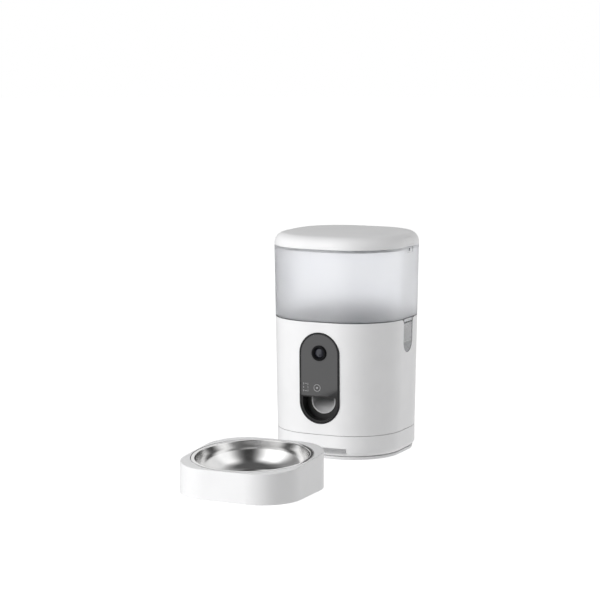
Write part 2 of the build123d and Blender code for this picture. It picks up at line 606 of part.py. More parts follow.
with BuildPart() as gear_plate:
    plate_rear_y = MOTOR_Y + GEARBOX_RADIUS
    plate_front_y = -2 * POST_RADIUS
    with BuildSketch(Plane.XY.offset(GEAR_PLATE_LOW_Z)) as plate_outline:
        with Locations((0, (plate_front_y + plate_rear_y) / 2)):
            RectangleRounded(GEAR_PLATE_WIDTH, plate_rear_y - plate_front_y, 2 * POST_RADIUS)
    extrude(plate_outline.sketch, amount=GEAR_PLATE_THICK)
    disc(JOURNAL_RADIUS + RUNNING, GEAR_PLATE_LOW_Z, GEAR_PLATE_TOP_Z, Mode.SUBTRACT)
    disc(JOURNAL_RADIUS + FIT, GEAR_PLATE_LOW_Z, GEAR_PLATE_TOP_Z, Mode.SUBTRACT, 0, MOTOR_Y)
    for post_x, post_y in POSTS:
        disc(SCREW_RADIUS + RUNNING, GEAR_PLATE_LOW_Z, GEAR_PLATE_TOP_Z, Mode.SUBTRACT, post_x, post_y)

with BuildPart() as plate_screws:
    screws(POSTS, GEAR_PLATE_LOW_Z, False)

with BuildPart() as gearmotor:
    gearbox_low_z = GEAR_PLATE_LOW_Z - GEARBOX_HEIGHT
    disc(GEARBOX_RADIUS, gearbox_low_z, GEAR_PLATE_LOW_Z, Mode.ADD, 0, MOTOR_Y)
    disc(MOTOR_RADIUS, gearbox_low_z - MOTOR_HEIGHT, gearbox_low_z, Mode.ADD, 0, MOTOR_Y)
    chamfer(gearmotor.edges().group_by(Axis.Z)[0], MOTOR_EDGE)
    bore_low_z = GEAR_PLATE_LOW_Z - MOTOR_SHAFT_DEPTH - RUNNING
    disc(JOURNAL_RADIUS + RUNNING, bore_low_z, GEAR_PLATE_LOW_Z, Mode.SUBTRACT, 0, MOTOR_Y)

# Rotor gear with its hexagonal drive shaft, and the motor gear that turns it
with BuildPart() as rotor_gear:
    gear(ROTOR_TEETH, 90)
    disc(JOURNAL_RADIUS, GEAR_PLATE_LOW_Z, GEAR_LOW_Z)
    disc(SHAFT_RADIUS, GEAR_TOP_Z, POCKET_TOP_Z)
    with BuildSketch(Plane.XY.offset(POCKET_TOP_Z)) as hex_outline:
        RegularPolygon(HEX_ACROSS / 2, 6, major_radius=False)
    extrude(hex_outline.sketch, amount=HEX_LENGTH)

with BuildPart() as motor_gear:
    gear(MOTOR_TEETH, 90 + 180 / MOTOR_TEETH, MOTOR_Y)
    disc(JOURNAL_RADIUS, GEAR_PLATE_LOW_Z - MOTOR_SHAFT_DEPTH, GEAR_LOW_Z, Mode.ADD, 0, MOTOR_Y)
    disc(2 * JOURNAL_RADIUS, GEAR_LOW_Z - GEAR_GAP / 2, GEAR_LOW_Z, Mode.ADD, 0, MOTOR_Y)

with BuildPart() as rotor:
    rotor_top_z = ROTOR_LOW_Z + ROTOR_HEIGHT
    disc(ROTOR_HUB, ROTOR_LOW_Z, rotor_top_z)
    fillet(rotor.edges().group_by(Axis.Z)[-1], ROTOR_HUB / 2)
    with BuildSketch(Plane.XY.offset(ROTOR_LOW_Z)) as paddle_outline:
        with PolarLocations(0, PADDLES):
            with Locations((DROP_OUTER / 2, 0)):
                Rectangle(DROP_OUTER, PADDLE_THICK)
        Circle(ROTOR_HUB / 2, mode=Mode.ADD)
    extrude(paddle_outline.sketch, amount=ROTOR_HEIGHT - ROTOR_HUB / 2)
    with BuildSketch(Plane.XY.offset(ROTOR_LOW_Z)) as socket_outline:
        RegularPolygon(HEX_ACROSS / 2 + FIT, 6, major_radius=False)
    socket_depth = POCKET_TOP_Z + HEX_LENGTH + FIT - ROTOR_LOW_Z
    extrude(socket_outline.sketch, amount=socket_depth, mode=Mode.SUBTRACT)

# Portion cup: flange, stepped wall, floor with the drop hole
with BuildPart() as portion_cup:
    flange_top_z = CUP_LOW_Z + CUP_HEIGHT
    disc(CUP_RADIUS, CUP_LOW_Z, flange_top_z)
    disc(FLANGE_RADIUS, flange_top_z - FLANGE_THICK, flange_top_z)
    fillet(portion_cup.edges().group_by(Axis.Z)[-1], FLANGE_THICK / 3)
    disc(CUP_BORE, CUP_LOW_Z + CUP_FLOOR, flange_top_z, Mode.SUBTRACT)
    sector(DROP_INNER, DROP_OUTER, 0, DROP_ANGLE, CUP_LOW_Z, CUP_LOW_Z + CUP_FLOOR, Mode.SUBTRACT)
    disc(SHAFT_RADIUS + FIT, CUP_LOW_Z, CUP_LOW_Z + CUP_FLOOR, Mode.SUBTRACT)
    step_middle = STEP_START + STEP_SWEEP / 2
    step_inner = CUP_RADIUS - STEP_DEPTH
    step_top_z = flange_top_z - FLANGE_THICK
    sector(step_inner, FLANGE_RADIUS, step_middle, STEP_SWEEP, CUP_LOW_Z, step_top_z, Mode.SUBTRACT)

# Boards, speaker and power inlet in the base
with BuildPart() as main_board:
    board_low_z = BASE_FLOOR_Z + STANDOFF
    with BuildSketch(Plane.XY.offset(board_low_z)) as main_outline:
        with Locations((0, MAIN_BOARD_Y)):
            RectangleRounded(MAIN_BOARD[0], MAIN_BOARD[1], STANDOFF_RADIUS)
    extrude(main_outline.sketch, amount=BOARD_THICK)

with BuildPart() as speaker:
    speaker_mid_z = BASE_FLOOR_Z + SPEAKER_HEIGHT / 3
    disc(SPEAKER_RADIUS, BASE_FLOOR_Z, speaker_mid_z, Mode.ADD, SPEAKER_X, SPEAKER_Y)
    disc(SPEAKER_RADIUS / 2, speaker_mid_z, BASE_FLOOR_Z + SPEAKER_HEIGHT, Mode.ADD, SPEAKER_X, SPEAKER_Y)

with BuildPart() as power_inlet:
    jack_wide, jack_long, jack_high = JACK_BODY
    jack_face_y = SEAM_HALF - BASE_WALL - FIT
    block(
        -jack_wide / 2,
        jack_wide / 2,
        jack_face_y - jack_long,
        jack_face_y,
        JACK_Z - jack_high / 2,
        JACK_Z + jack_high / 2,
    )
    with BuildSketch(Plane.XZ.offset(-jack_face_y)) as sleeve_outline:
        with Locations((0, JACK_Z)):
            Circle(JACK_RADIUS)
    extrude(sleeve_outline.sketch, amount=-BASE_WALL)
    with BuildSketch(Plane.XZ.offset(-jack_face_y - BASE_WALL)) as bore_outline:
        with Locations((0, JACK_Z)):
            Circle(JACK_BORE)
            Circle(JACK_PIN, mode=Mode.SUBTRACT)
    extrude(bore_outline.sketch, amount=jack_long, mode=Mode.SUBTRACT)

# Hopper: wall, plug, funnel, spout, neck collar with cut-outs, and two side legs

def funnel(wall, mode=Mode.ADD):
    """Funnel below the plug, from the rounded square to the round spout."""
    top = half_at(PLUG_LOW_Z) - PLUG_INSET - wall
    sections = (
        (PLUG_LOW_Z, top, top - CORNER),
        (FUNNEL_LOW_Z, NECK_RADIUS - wall, (NECK_RADIUS - wall) * ROUNDNESS),
        (SPOUT_TOP_Z, SPOUT_RADIUS - wall, (SPOUT_RADIUS - wall) * ROUNDNESS),
    )
    for upper, lower in zip(sections, sections[1:]):
        outlines = []
        for height, half, radius in (upper, lower):
            with BuildSketch(Plane.XY.offset(height)) as outline:
                RectangleRounded(2 * half, 2 * half, radius)
            outlines.append(outline.sketch.face())
        loft(outlines, ruled=True, mode=mode)
    disc(SPOUT_RADIUS - wall, SPOUT_LOW_Z, SPOUT_TOP_Z, mode)


with BuildPart() as hopper_leg_skin:
    skin(SNUG, SLOT_BOTTOM_Z, HOPPER_LOW_Z)
    skin(HOUSING_WALL - SNUG, SLOT_BOTTOM_Z, HOPPER_LOW_Z, Mode.SUBTRACT)
    leg_outline = side_profile(SLOT_WIDTH - 2 * FIT, SLOT_BOTTOM_Z + FIT, HOPPER_LOW_Z)
    extrude(leg_outline, amount=2 * SEAM_HALF, both=True, mode=Mode.INTERSECT)

POST_START = WINDOW_START + WINDOW_SWEEP
RAMP_MIDDLE = POST_START + NECK_POST_SWEEP + RAMP_SWEEP / 2
RAMP_TURN = radians(RAMP_MIDDLE)
RAMP_MID_Z = NECK_LOW_Z + WINDOW_HEIGHT / 2

# Slanting rib on the outside of the neck collar, behind the post
with BuildPart() as neck_ramp:
    rib_inner = NECK_RADIUS - NECK_WALL / 2
    rib_outer = NECK_RADIUS + NECK_PROUD
    sector(rib_inner, rib_outer, RAMP_MIDDLE, RAMP_SWEEP, NECK_LOW_Z, FUNNEL_LOW_Z)
    ramp_plane = Plane(
        origin=(0, 0, RAMP_MID_Z),
        x_dir=(cos(RAMP_TURN), sin(RAMP_TURN), 0),
        z_dir=(sin(RAMP_TURN), -cos(RAMP_TURN), 0),
    )
    with BuildSketch(ramp_plane) as ramp_bar:
        Rectangle(2 * NECK_RADIUS, RAMP_THICK, rotation=RAMP_SLOPE)
    extrude(ramp_bar.sketch, amount=2 * NECK_RADIUS, mode=Mode.INTERSECT)

with BuildPart() as hopper:
    skin(0, HOPPER_LOW_Z, HOPPER_TOP_Z)
    skin(PLUG_INSET, PLUG_LOW_Z, HOPPER_LOW_Z)
    funnel(0)
    disc(NECK_RADIUS, NECK_LOW_Z, FUNNEL_LOW_Z + FUNNEL_WALL)
    disc(NECK_RADIUS - NECK_WALL, NECK_LOW_Z, FUNNEL_LOW_Z, Mode.SUBTRACT)
    funnel(0)
    skin(HOPPER_WALL, HOPPER_LOW_Z + HOPPER_WALL, HOPPER_TOP_Z, Mode.SUBTRACT)
    skin(PLUG_INSET + FUNNEL_WALL, PLUG_LOW_Z, HOPPER_LOW_Z + HOPPER_WALL, Mode.SUBTRACT)
    funnel(FUNNEL_WALL, Mode.SUBTRACT)
    neck_inner = NECK_RADIUS - NECK_WALL
    neck_outer = NECK_RADIUS + NECK_PROUD
    window_top_z = NECK_LOW_Z + WINDOW_HEIGHT
    for turn in (0, 180):
        window_middle = turn + WINDOW_START + WINDOW_SWEEP / 2
        post_middle = turn + POST_START + NECK_POST_SWEEP / 2
        window = (window_middle, WINDOW_SWEEP, NECK_LOW_Z, window_top_z)
        sector(neck_inner - SNUG, neck_outer, *window, Mode.SUBTRACT)
        sector(neck_inner, neck_outer, post_middle, NECK_POST_SWEEP, NECK_LOW_Z, FUNNEL_LOW_Z)
    add(neck_ramp.part)
    add(neck_ramp.part.rotate(Axis.Z, 180))
    add(hopper_leg_skin.part)
    pad_z = HOPPER_TOP_Z - PAD_DROP
    pad_x = half_at(pad_z)
    pad_low_z = pad_z - PAD_HEIGHT / 2
    pad_top_z = pad_z + PAD_HEIGHT / 2
    for side in (1, -1):
        pad_low, pad_high = sorted((side * (pad_x - PAD_DEPTH), side * 2 * pad_x))
        block(pad_low, pad_high, -PAD_WIDTH / 2, PAD_WIDTH / 2, pad_low_z, pad_top_z, Mode.SUBTRACT)
    with BuildSketch(Plane.YZ) as pad_holes:
        with Locations((0, pad_z)):
            Circle(PAD_HOLE)
    extrude(pad_holes.sketch, amount=2 * pad_x, both=True, mode=Mode.SUBTRACT)

# Lid: dome, liner that plugs into the hopper, seal, and two sprung side latches
LID_HALF = half_at(HOPPER_TOP_Z)
LID_CORNER = LID_HALF - CORNER
LINER_HALF = LID_HALF - HOPPER_WALL - 2 * FIT
LINER_LOW_Z = LID_LOW_Z - LINER_DROP
LINER_TOP_Z = LID_LOW_Z + LINER_RISE
LATCH_LOW_Z = LID_LOW_Z + LATCH_LOW
LATCH_TOP_Z = LATCH_LOW_Z + LATCH_HEIGHT


def dome(inset, low):
    """Lid form: rounded square block with a rounded top edge, inset from the lid's outside."""
    prism(LID_HALF - inset, LID_CORNER - inset, low, LID_TOP_Z - inset)


with BuildPart() as lid_form:
    dome(0, LID_LOW_Z)
    fillet(lid_form.faces().sort_by(Axis.Z)[-1].edges(), LID_ROUND)

with BuildPart() as lid_hollow:
    dome(LID_WALL, LID_LOW_Z)
    fillet(lid_hollow.faces().sort_by(Axis.Z)[-1].edges(), LID_ROUND - LID_WALL)

with BuildPart() as lid_shell:
    add(lid_form.part)
    add(lid_hollow.part, mode=Mode.SUBTRACT)
    window_half = LATCH_WIDTH / 2 + FIT
    window_low_z = LATCH_LOW_Z - FIT
    window_top_z = LATCH_TOP_Z + FIT
    window_x = LID_HALF - LID_ROUND
    block(window_x, 2 * LID_HALF, -window_half, window_half, window_low_z, window_top_z, Mode.SUBTRACT)
    block(-2 * LID_HALF, -window_x, -window_half, window_half, window_low_z, window_top_z, Mode.SUBTRACT)

with BuildPart() as lid_liner:
    prism(LINER_HALF, LINER_HALF - CORNER, LINER_LOW_Z, LINER_TOP_Z)
    liner_inner = LINER_HALF - LINER_WALL - SEAL_GROOVE
    prism(liner_inner, liner_inner - CORNER, LINER_LOW_Z + LINER_WALL, LINER_TOP_Z, Mode.SUBTRACT)
    groove_low_z = LID_LOW_Z - SEAT - SEAL_HEIGHT - SNUG
    groove_half = LINER_HALF - SEAL_GROOVE
    groove_top_z = LID_LOW_Z - SEAT + SNUG
    with BuildSketch(Plane.XY.offset(groove_low_z)) as groove:
        RectangleRounded(4 * LINER_HALF, 4 * LINER_HALF, LINER_HALF)
        RectangleRounded(2 * groove_half, 2 * groove_half, groove_half - CORNER, mode=Mode.SUBTRACT)
    extrude(groove.sketch, amount=groove_top_z - groove_low_z, mode=Mode.SUBTRACT)

with BuildPart() as lid_seal:
    seal_inner = groove_half + SNUG
    seal_outer = LINER_HALF + FIT
    prism(seal_outer, seal_outer - CORNER, groove_low_z + SNUG, groove_top_z - SNUG)
    prism(seal_inner, seal_inner - CORNER, groove_low_z + SNUG, groove_top_z - SNUG, Mode.SUBTRACT)

with BuildPart() as lid_latch_right:
    add(lid_form.part)
    add(lid_hollow.part, mode=Mode.SUBTRACT)
    latch_half = LATCH_WIDTH / 2
    block(window_x, 2 * LID_HALF, -latch_half, latch_half, LATCH_LOW_Z, LATCH_TOP_Z, Mode.INTERSECT)

with BuildPart() as lid_latch_left:
    mirror(lid_latch_right.part, about=Plane.YZ)

# Tray: shell with a sloping top, well liner, base, feet and the dock tongue
DOCKED_Y = -(half_at(TRAY_TOP_Z) + BEZEL_PROUD + 2 * FIT + TRAY_HALF)
TRAY_Y = DOCKED_Y - TRAY_APART
TRAY_TOP = Plane((0, TRAY_Y, TRAY_TOP_Z), x_dir=(1, 0, 0), z_dir=(0, -sin(TILT), cos(TILT)))
TRAY_PEAK_Z = TRAY_TOP_Z + TRAY_HALF
TRAY_BASE_TOP_Z = TRAY_LOW_Z + TRAY_BASE_THICK
TRAY_FOOT_TOP_Z = TRAY_LOW_Z + TRAY_FOOT_RECESS
TRAY_FEET = [
    (sx * TRAY_FOOT_PITCH / 2, TRAY_Y + sy * TRAY_FOOT_PITCH / 2) for sx in (1, -1) for sy in (1, -1)
]
STEP_RADIUS = RIM_RADIUS + 2 * FIT


def tilted_disc(radius, depth_low, depth_high, mode=Mode.ADD):
    """Cylinder square to the tray's sloping top, between two depths below it."""
    with BuildSketch(TRAY_TOP.offset(-depth_low)) as outline:
        Circle(radius)
    extrude(outline.sketch, amount=depth_low - depth_high, mode=mode)


with BuildPart() as tray_hollow:
    tray_inner = TRAY_HALF - TRAY_WALL
    prism(tray_inner, TRAY_RADIUS - TRAY_WALL, TRAY_LOW_Z, TRAY_PEAK_Z, Mode.ADD, TRAY_Y)
    split(bisect_by=TRAY_TOP.offset(-TRAY_TOP_THICK), keep=Keep.BOTTOM)

with BuildPart() as tray_shell:
    prism(TRAY_HALF, TRAY_RADIUS, TRAY_LOW_Z, TRAY_PEAK_Z, Mode.ADD, TRAY_Y)
    split(bisect_by=TRAY_TOP, keep=Keep.BOTTOM)
    fillet(tray_shell.faces().sort_by(Axis.Z)[-1].edges(), TRAY_EDGE)
    add(tray_hollow.part, mode=Mode.SUBTRACT)
    tilted_disc(STEP_RADIUS, RIM_STEP, -RIM_STEP, Mode.SUBTRACT)
    tilted_disc(WELL_RADIUS + SNUG, 2 * TRAY_TOP_THICK, -RIM_STEP, Mode.SUBTRACT)

WELL_DEPTH = BOWL_HEIGHT + FIT
WELL_AXIS = Axis(TRAY_TOP.origin, TRAY_TOP.z_dir)

with BuildPart() as well_space:
    tilted_disc(WELL_RADIUS - LINER_THICK, WELL_DEPTH, 0)
    fillet(well_space.faces().sort_by(WELL_AXIS)[0].edges(), WELL_ROUND - LINER_THICK)

with BuildPart() as well_liner:
    tilted_disc(WELL_RADIUS, WELL_DEPTH + LINER_THICK, RIM_STEP)
    fillet(well_liner.faces().sort_by(WELL_AXIS)[0].edges(), WELL_ROUND)
    add(well_space.part, mode=Mode.SUBTRACT)

with BuildPart() as tray_base:
    base_half = TRAY_HALF - TRAY_WALL - SNUG
    prism(base_half, TRAY_RADIUS - TRAY_WALL - SNUG, TRAY_LOW_Z, TRAY_BASE_TOP_Z, Mode.ADD, TRAY_Y)
    for foot_x, foot_y in TRAY_FEET:
        disc(TRAY_FOOT_RADIUS + SNUG, TRAY_LOW_Z, TRAY_FOOT_TOP_Z, Mode.SUBTRACT, foot_x, foot_y)

with BuildPart() as tray_feet:
    for foot_x, foot_y in TRAY_FEET:
        disc(TRAY_FOOT_RADIUS, 0, TRAY_FOOT_TOP_Z, Mode.ADD, foot_x, foot_y)

with BuildPart() as dock_tongue:
    tongue_half = DOCK_WIDTH / 2 - 2 * TONGUE_PLAY
    tray_rear_y = TRAY_Y + TRAY_HALF
    block(
        -tongue_half,
        tongue_half,
        tray_rear_y,
        tray_rear_y + TONGUE_LENGTH,
        DOCK_LOW_Z + TONGUE_PLAY,
        DOCK_LOW_Z + DOCK_HEIGHT - TONGUE_PLAY,
    )
    fillet(dock_tongue.edges().filter_by(Axis.Z).group_by(Axis.Y)[-1], DOCK_HEIGHT / 2)

# Steel bowl, spun about the tray's sloping axis
BOWL_MOUTH = WELL_RADIUS - LINER_THICK - 2 * FIT
BOWL_SIDE = Plane(TRAY_TOP.origin, x_dir=(1, 0, 0), z_dir=-TRAY_TOP.y_dir)
RIM_MID = SEAT - RIM_STEP + BOWL_RIM_THICK / 2


def bowl_form(inset, mode=Mode.ADD):
    """Spun bowl form up to the middle of its rim, inset from the outside."""
    floor = inset - BOWL_HEIGHT
    with BuildSketch(BOWL_SIDE) as half:
        with BuildLine():
            knee = (BOWL_KNEE - inset, floor)
            mouth = (BOWL_MOUTH - inset, RIM_MID)
            side = FilletPolyline((0, floor), knee, mouth, radius=BOWL_ROUND - inset)
            Polyline(side @ 1, (0, RIM_MID), side @ 0)
        make_face()
    revolve(half.sketch, axis=WELL_AXIS, mode=mode)


with BuildPart() as steel_bowl:
    bowl_form(0)
    with BuildSketch(BOWL_SIDE) as rim_half:
        rim_width = RIM_RADIUS - BOWL_MOUTH + BOWL_GAUGE
        with Locations((RIM_RADIUS - rim_width / 2, RIM_MID)):
            SlotOverall(rim_width, BOWL_RIM_THICK)
    revolve(rim_half.sketch, axis=WELL_AXIS)
    bowl_form(BOWL_GAUGE, Mode.SUBTRACT)

NODES = {
    "main_housing": main_housing,
    "base_cover": base_cover,
    "base_plate": base_plate,
    "rubber_feet": rubber_feet,
    "base_screws": base_screws,
    "front_bezel": front_bezel,
    "front_panel": front_panel,
    "camera_barrel": camera_barrel,
    "camera_lens": camera_lens,
    "touch_board": touch_board,
    "camera_module": camera_module,
    "electronics_cover": electronics_cover,
    "outlet_duct": outlet_duct,
    "outlet_chute": outlet_chute,
    "mechanism_deck": mechanism_deck,
    "deck_screws": deck_screws,
    "gear_plate": gear_plate,
    "plate_screws": plate_screws,
    "gearmotor": gearmotor,
    "rotor_gear": rotor_gear,
    "motor_gear": motor_gear,
    "rotor": rotor,
    "portion_cup": portion_cup,
    "main_board": main_board,
    "speaker": speaker,
    "power_inlet": power_inlet,
    "hopper": hopper,
    "lid_shell": lid_shell,
    "lid_liner": lid_liner,
    "lid_seal": lid_seal,
    "lid_latch_right": lid_latch_right,
    "lid_latch_left": lid_latch_left,
    "tray_shell": tray_shell,
    "well_liner": well_liner,
    "tray_base": tray_base,
    "tray_feet": tray_feet,
    "dock_tongue": dock_tongue,
    "steel_bowl": steel_bowl,
}

os.makedirs("parts", exist_ok=True)
for node_name, builder in NODES.items():
    builder.part.label = node_name
    export_step(builder.part, f"parts/{node_name}.step")
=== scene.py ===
"""Looks of the automatic pet feeder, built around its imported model. Metres, +Z up, front at -Y."""
import math

import bmesh
import bpy
from mathutils import Matrix, Vector


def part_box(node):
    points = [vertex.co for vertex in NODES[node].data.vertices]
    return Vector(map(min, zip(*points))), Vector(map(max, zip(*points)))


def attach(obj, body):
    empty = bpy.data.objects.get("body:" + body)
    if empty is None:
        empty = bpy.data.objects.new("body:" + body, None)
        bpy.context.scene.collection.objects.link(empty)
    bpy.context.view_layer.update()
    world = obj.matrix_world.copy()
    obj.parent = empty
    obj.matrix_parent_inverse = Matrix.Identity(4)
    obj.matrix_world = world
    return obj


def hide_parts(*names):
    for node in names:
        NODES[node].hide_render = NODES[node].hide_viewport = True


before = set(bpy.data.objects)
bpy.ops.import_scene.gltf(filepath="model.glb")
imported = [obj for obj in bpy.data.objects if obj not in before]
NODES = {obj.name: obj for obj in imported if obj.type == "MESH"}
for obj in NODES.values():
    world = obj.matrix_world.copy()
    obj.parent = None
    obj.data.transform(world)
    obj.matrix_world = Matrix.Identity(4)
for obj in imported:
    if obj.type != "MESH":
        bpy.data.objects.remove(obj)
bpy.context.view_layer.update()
MM = 0.001
WHITE = (1.0, 1.0, 1.0)

# Camera, at the photograph's place
CAMERA_PLACE = (1.1928, -2.6966, 0.6074)
CAMERA_HEADING = 25.16  # degrees, turned left from looking along +Y
CAMERA_PITCH = 7.607  # degrees below the horizon
CAMERA_LENS = 124.9 * MM
CAMERA_REACH = 100.0
SENSOR = 36.0 * MM

# Floor
FLOOR_RADIUS = 14.0
FLOOR_SEGMENTS = 96
FLOOR_TONE = (0.25, 0.25, 0.25)
FLOOR_GLOW_NEAR = 0.95
FLOOR_GLOW_FAR = 1.02
FLOOR_BOUNCE = 0.6  # share of the glow that lights the object
GLOW_RISE_START = 0.5  # distances from the middle between which the glow rises
GLOW_RISE_END = 2.0

# Studio round the object. Azimuth is counted from the front towards +X, in degrees
AIM = Vector((0.0, -0.12, 0.18))  # point that the lights look at
WORLD_TONE = (0.10, 0.10, 0.10)
# Studio as it shows in gloss: azimuth and brightness of upright softboxes
STRIPS = (
    (-90, 0.40), (-74, 0.28), (-62, 0.55), (-50, 1.3), (-40, 1.7), (-8, 1.7), (4, 1.0), (16, 0.30),
    (26, 0.06), (42, 0.06), (54, 0.25), (66, 0.8), (78, 1.35), (98, 1.35), (112, 1.0), (126, 1.0),
    (150, 0.95), (180, 0.8), (196, 0.45), (208, 0.06), (244, 0.06), (262, 0.25), (270, 0.33),
)
STRIP_START = -90.0  # azimuth at which Blender's radial gradient starts
# Rises are sines of the elevation, between which one tone goes over into the next
STRIP_TOP = (0.80, 0.96)
CEILING = (0.12, 0.12, 0.12)
BACK_PANEL = 212.0  # azimuth of a bright panel behind, which shows in the bowl's rim
BACK_EDGE = (0.70, 0.85)  # cosines of the angle to its middle
BACK_RISE = (0.14, 0.24)
BACK_TABLE = 0.5  # share of its tone on the table below it
TABLE_RISE = (-0.26, -0.16)
BACK_TONE = WHITE
GROUND_FROM = (-0.93, -0.82)
GROUND = (0.26, 0.26, 0.26)

# Finishes
NOISE_RANGE = (0.3, 0.7)  # most noise values lie between these
RAY_SAMPLES = 8
FADE = 1.0 * MM  # width over which one finish goes over into the next
WHITE_PLASTIC = (0.86, 0.86, 0.865)
PLASTIC_SWING = 0.04  # of the roughness, to both sides
PANEL_SMEAR = 0.05  # roughness that handling adds
PANEL_VARIATION = 0.93
METAL_SWING = 0.08
METAL_VARIATION = 0.85
STEEL_ROUGHNESS = (0.12, 0.17)
STEEL_COLOURS = ((0.68, 0.68, 0.68), (0.76, 0.755, 0.75))
BOARD_ROUGHNESS = (0.28, 0.4)
LENS_ROUGHNESS = (0.10, 0.14)
LENS_COLOURS = ((0.012, 0.013, 0.018), (0.02, 0.02, 0.028))
INK = (0.34, 0.34, 0.345)
INWARDS = (-4.0 * MM, -1.0 * MM)  # distance from the axis times the cosine of the face's angle to the way out

# Painted shade on inner faces, darker towards the bottom: lower and upper level, and the tone at each
HOUSING_INWARD_SHADE = (158.0 * MM, 186.0 * MM, 0.52, 0.83)
CUP_INWARD_SHADE = (118.0 * MM, 146.0 * MM, 0.55, 0.78)

# Painted shade in upright bands, in the back channel and as the shadow beside the cup's step: azimuth,
# distances past it at both sides, tone, on inner faces or not
CHANNEL_SHADE_BAND = (180.0, -6.0 * MM, 0.5 * MM, 0.34, True)
STEP_SHADOW_BAND = (30.0, 0.0, 12.0 * MM, 0.55, False)
BAND_EDGE = 0.4 * MM

# Shade in joints and inner corners
CORNER_REACH = 2.5 * MM
CORNER_TONE = 0.45
LID_CORNER_TONE = 0.85
CORNER_OPEN = (0.1, 0.8)  # open share of the view at which the shade is full, and at which it ends
CORNER_LOW = (10.0 * MM, 16.0 * MM)  # none below, where the floor lights the base

# Hopper: painted dark lines, standing in for refraction, at the edges of its wall, plug, funnel and collar
# windows: level and reach
HOPPER_REFRACTION_LINES = (
    (194.0 * MM, 140.0 * MM),
    (188.0 * MM, 140.0 * MM),
    (160.2 * MM, 60.0 * MM),
    (154.6 * MM, 60.0 * MM),
)
LINE_HALF = 1.0 * MM
LINE_CORE = 0.6  # share of the half width that is full
REFRACTION_LINE_COLOUR = (0.06, 0.062, 0.075)
EDGE_RADIUS = 1.5 * MM
EDGE_TURN = (0.80, 0.99)  # cosines of the angle between the rounded and the true face
WALL_COLOURS = ((0.965, 0.972, 0.995), (0.98, 0.985, 1.0))
FUNNEL_COLOUR = (0.985, 0.99, 1.0)
FUNNEL_ROUGHNESS = 0.34  # of the wall too
COLLAR_TOP = 160.0 * MM
COLLAR_COLOUR = (0.74, 0.75, 0.77)
COLLAR_ROUGHNESS = 0.16
LEG_REACH = 88.0 * MM
LEG_ROUGHNESS = 0.4  # share of the roughness that the legs keep
# Painted dark lines at the pads' edges and holes, standing in for refraction
PAD_DROP = 4.6 * MM  # pads with a hole, below the hopper's rim
PAD_REACH = 12.0 * MM
PAD_DOWN = 6.0 * MM
PAD_TONE = 0.5
PAD_HOLE = 2.0 * MM
PAD_HOLE_FADE = 0.8 * MM
PAD_HOLE_TONE = 0.9

# Bowl, as it is spun: sizes about its rim's middle
BOWL_TILT = math.radians(3.9)
BOWL_RIM_RADIUS = 80.7 * MM
BOWL_RIM_ROUND = 1.1 * MM
BOWL_MOUTH = 76.4 * MM
BOWL_KNEE = 73.4 * MM
BOWL_FLOOR = -37.2 * MM
BOWL_ROUND = 32.0 * MM
BOWL_GAUGE = 0.9 * MM
BOWL_SHARP = math.radians(50.0)
# Its steps round the axis, and along the profile
BOWL_TURNS = 288
FLOOR_STEPS = 24
ROUND_STEPS = 48
WALL_STEPS = 16
RIM_STEPS = 24
INNER_RIM_STEPS = 12

# Touch signs on the panel: a ring with a dot, and a dashed frame
SIGN_Z = 101.0 * MM
SIGN_PROUD = 0.05 * MM
SIGN_SUNK = 0.02 * MM
RING_X = -3.4 * MM
RING_RADIUS = 5.2 * MM
RING_LINE = 0.7 * MM
RING_POINTS = 48
DOT_RADIUS = 1.4 * MM
DOT_POINTS = 32
DASH_X = -20.7 * MM
DASH_WIDTH = 6.6 * MM
DASH_HEIGHT = 10.5 * MM
DASH_STEP = 4.8125 * MM
DASH_LINE = 0.75 * MM
UPRIGHT_DASH = 2.8 * MM
LEVEL_DASH = 3.2 * MM
FACING_LEAST = 0.99  # cosine of the angle up to which a face counts as a panel's front
FACING_DEPTH = 4.0 * MM


# Node helpers

def principled(name):
    """New material with its node tree and its shader."""
    material = bpy.data.materials.new(name)
    material.use_nodes = True
    tree = material.node_tree
    return material, tree, tree.nodes["Principled BSDF"]


def place_coords(tree, stretch=(1.0, 1.0, 1.0)):
    """Coordinates fixed to the piece, in metres, stretched along its axes."""
    coords = tree.nodes.new("ShaderNodeTexCoord")
    mapping = tree.nodes.new("ShaderNodeMapping")
    mapping.inputs["Scale"].default_value = stretch
    tree.links.new(coords.outputs["Object"], mapping.inputs["Vector"])
    return mapping.outputs["Vector"]


def separated(tree, vector):
    """Outputs for the parts of a vector."""
    node = tree.nodes.new("ShaderNodeSeparateXYZ")
    tree.links.new(vector, node.inputs["Vector"])
    return node.outputs


def noise(tree, vector, scale, detail=2.0):
    """Noise value over the surface."""
    node = tree.nodes.new("ShaderNodeTexNoise")
    node.inputs["Scale"].default_value = scale
    node.inputs["Detail"].default_value = detail
    tree.links.new(vector, node.inputs["Vector"])
    return node.outputs["Fac"]


def spread(tree, value, low, high, start=NOISE_RANGE[0], end=NOISE_RANGE[1]):
    """Value mapped so that start becomes low and end becomes high, and held there beyond them."""
    node = tree.nodes.new("ShaderNodeMapRange")
    node.inputs["From Min"].default_value = start
    node.inputs["From Max"].default_value = end
    node.inputs["To Min"].default_value = low
    node.inputs["To Max"].default_value = high
    tree.links.new(value, node.inputs["Value"])
    return node.outputs["Result"]


def opposite(tree, share):
    """One where a share is nought, and nought where it is one."""
    return spread(tree, share, 1.0, 0.0, 0.0, 1.0)


def combine(tree, operation, first, second=None):
    """Result of a calculation with one or two values, of which the second may be a number."""
    node = tree.nodes.new("ShaderNodeMath")
    node.operation = operation
    tree.links.new(first, node.inputs[0])
    if isinstance(second, float):
        node.inputs[1].default_value = second
    elif second is not None:
        tree.links.new(second, node.inputs[1])
    return node.outputs["Value"]


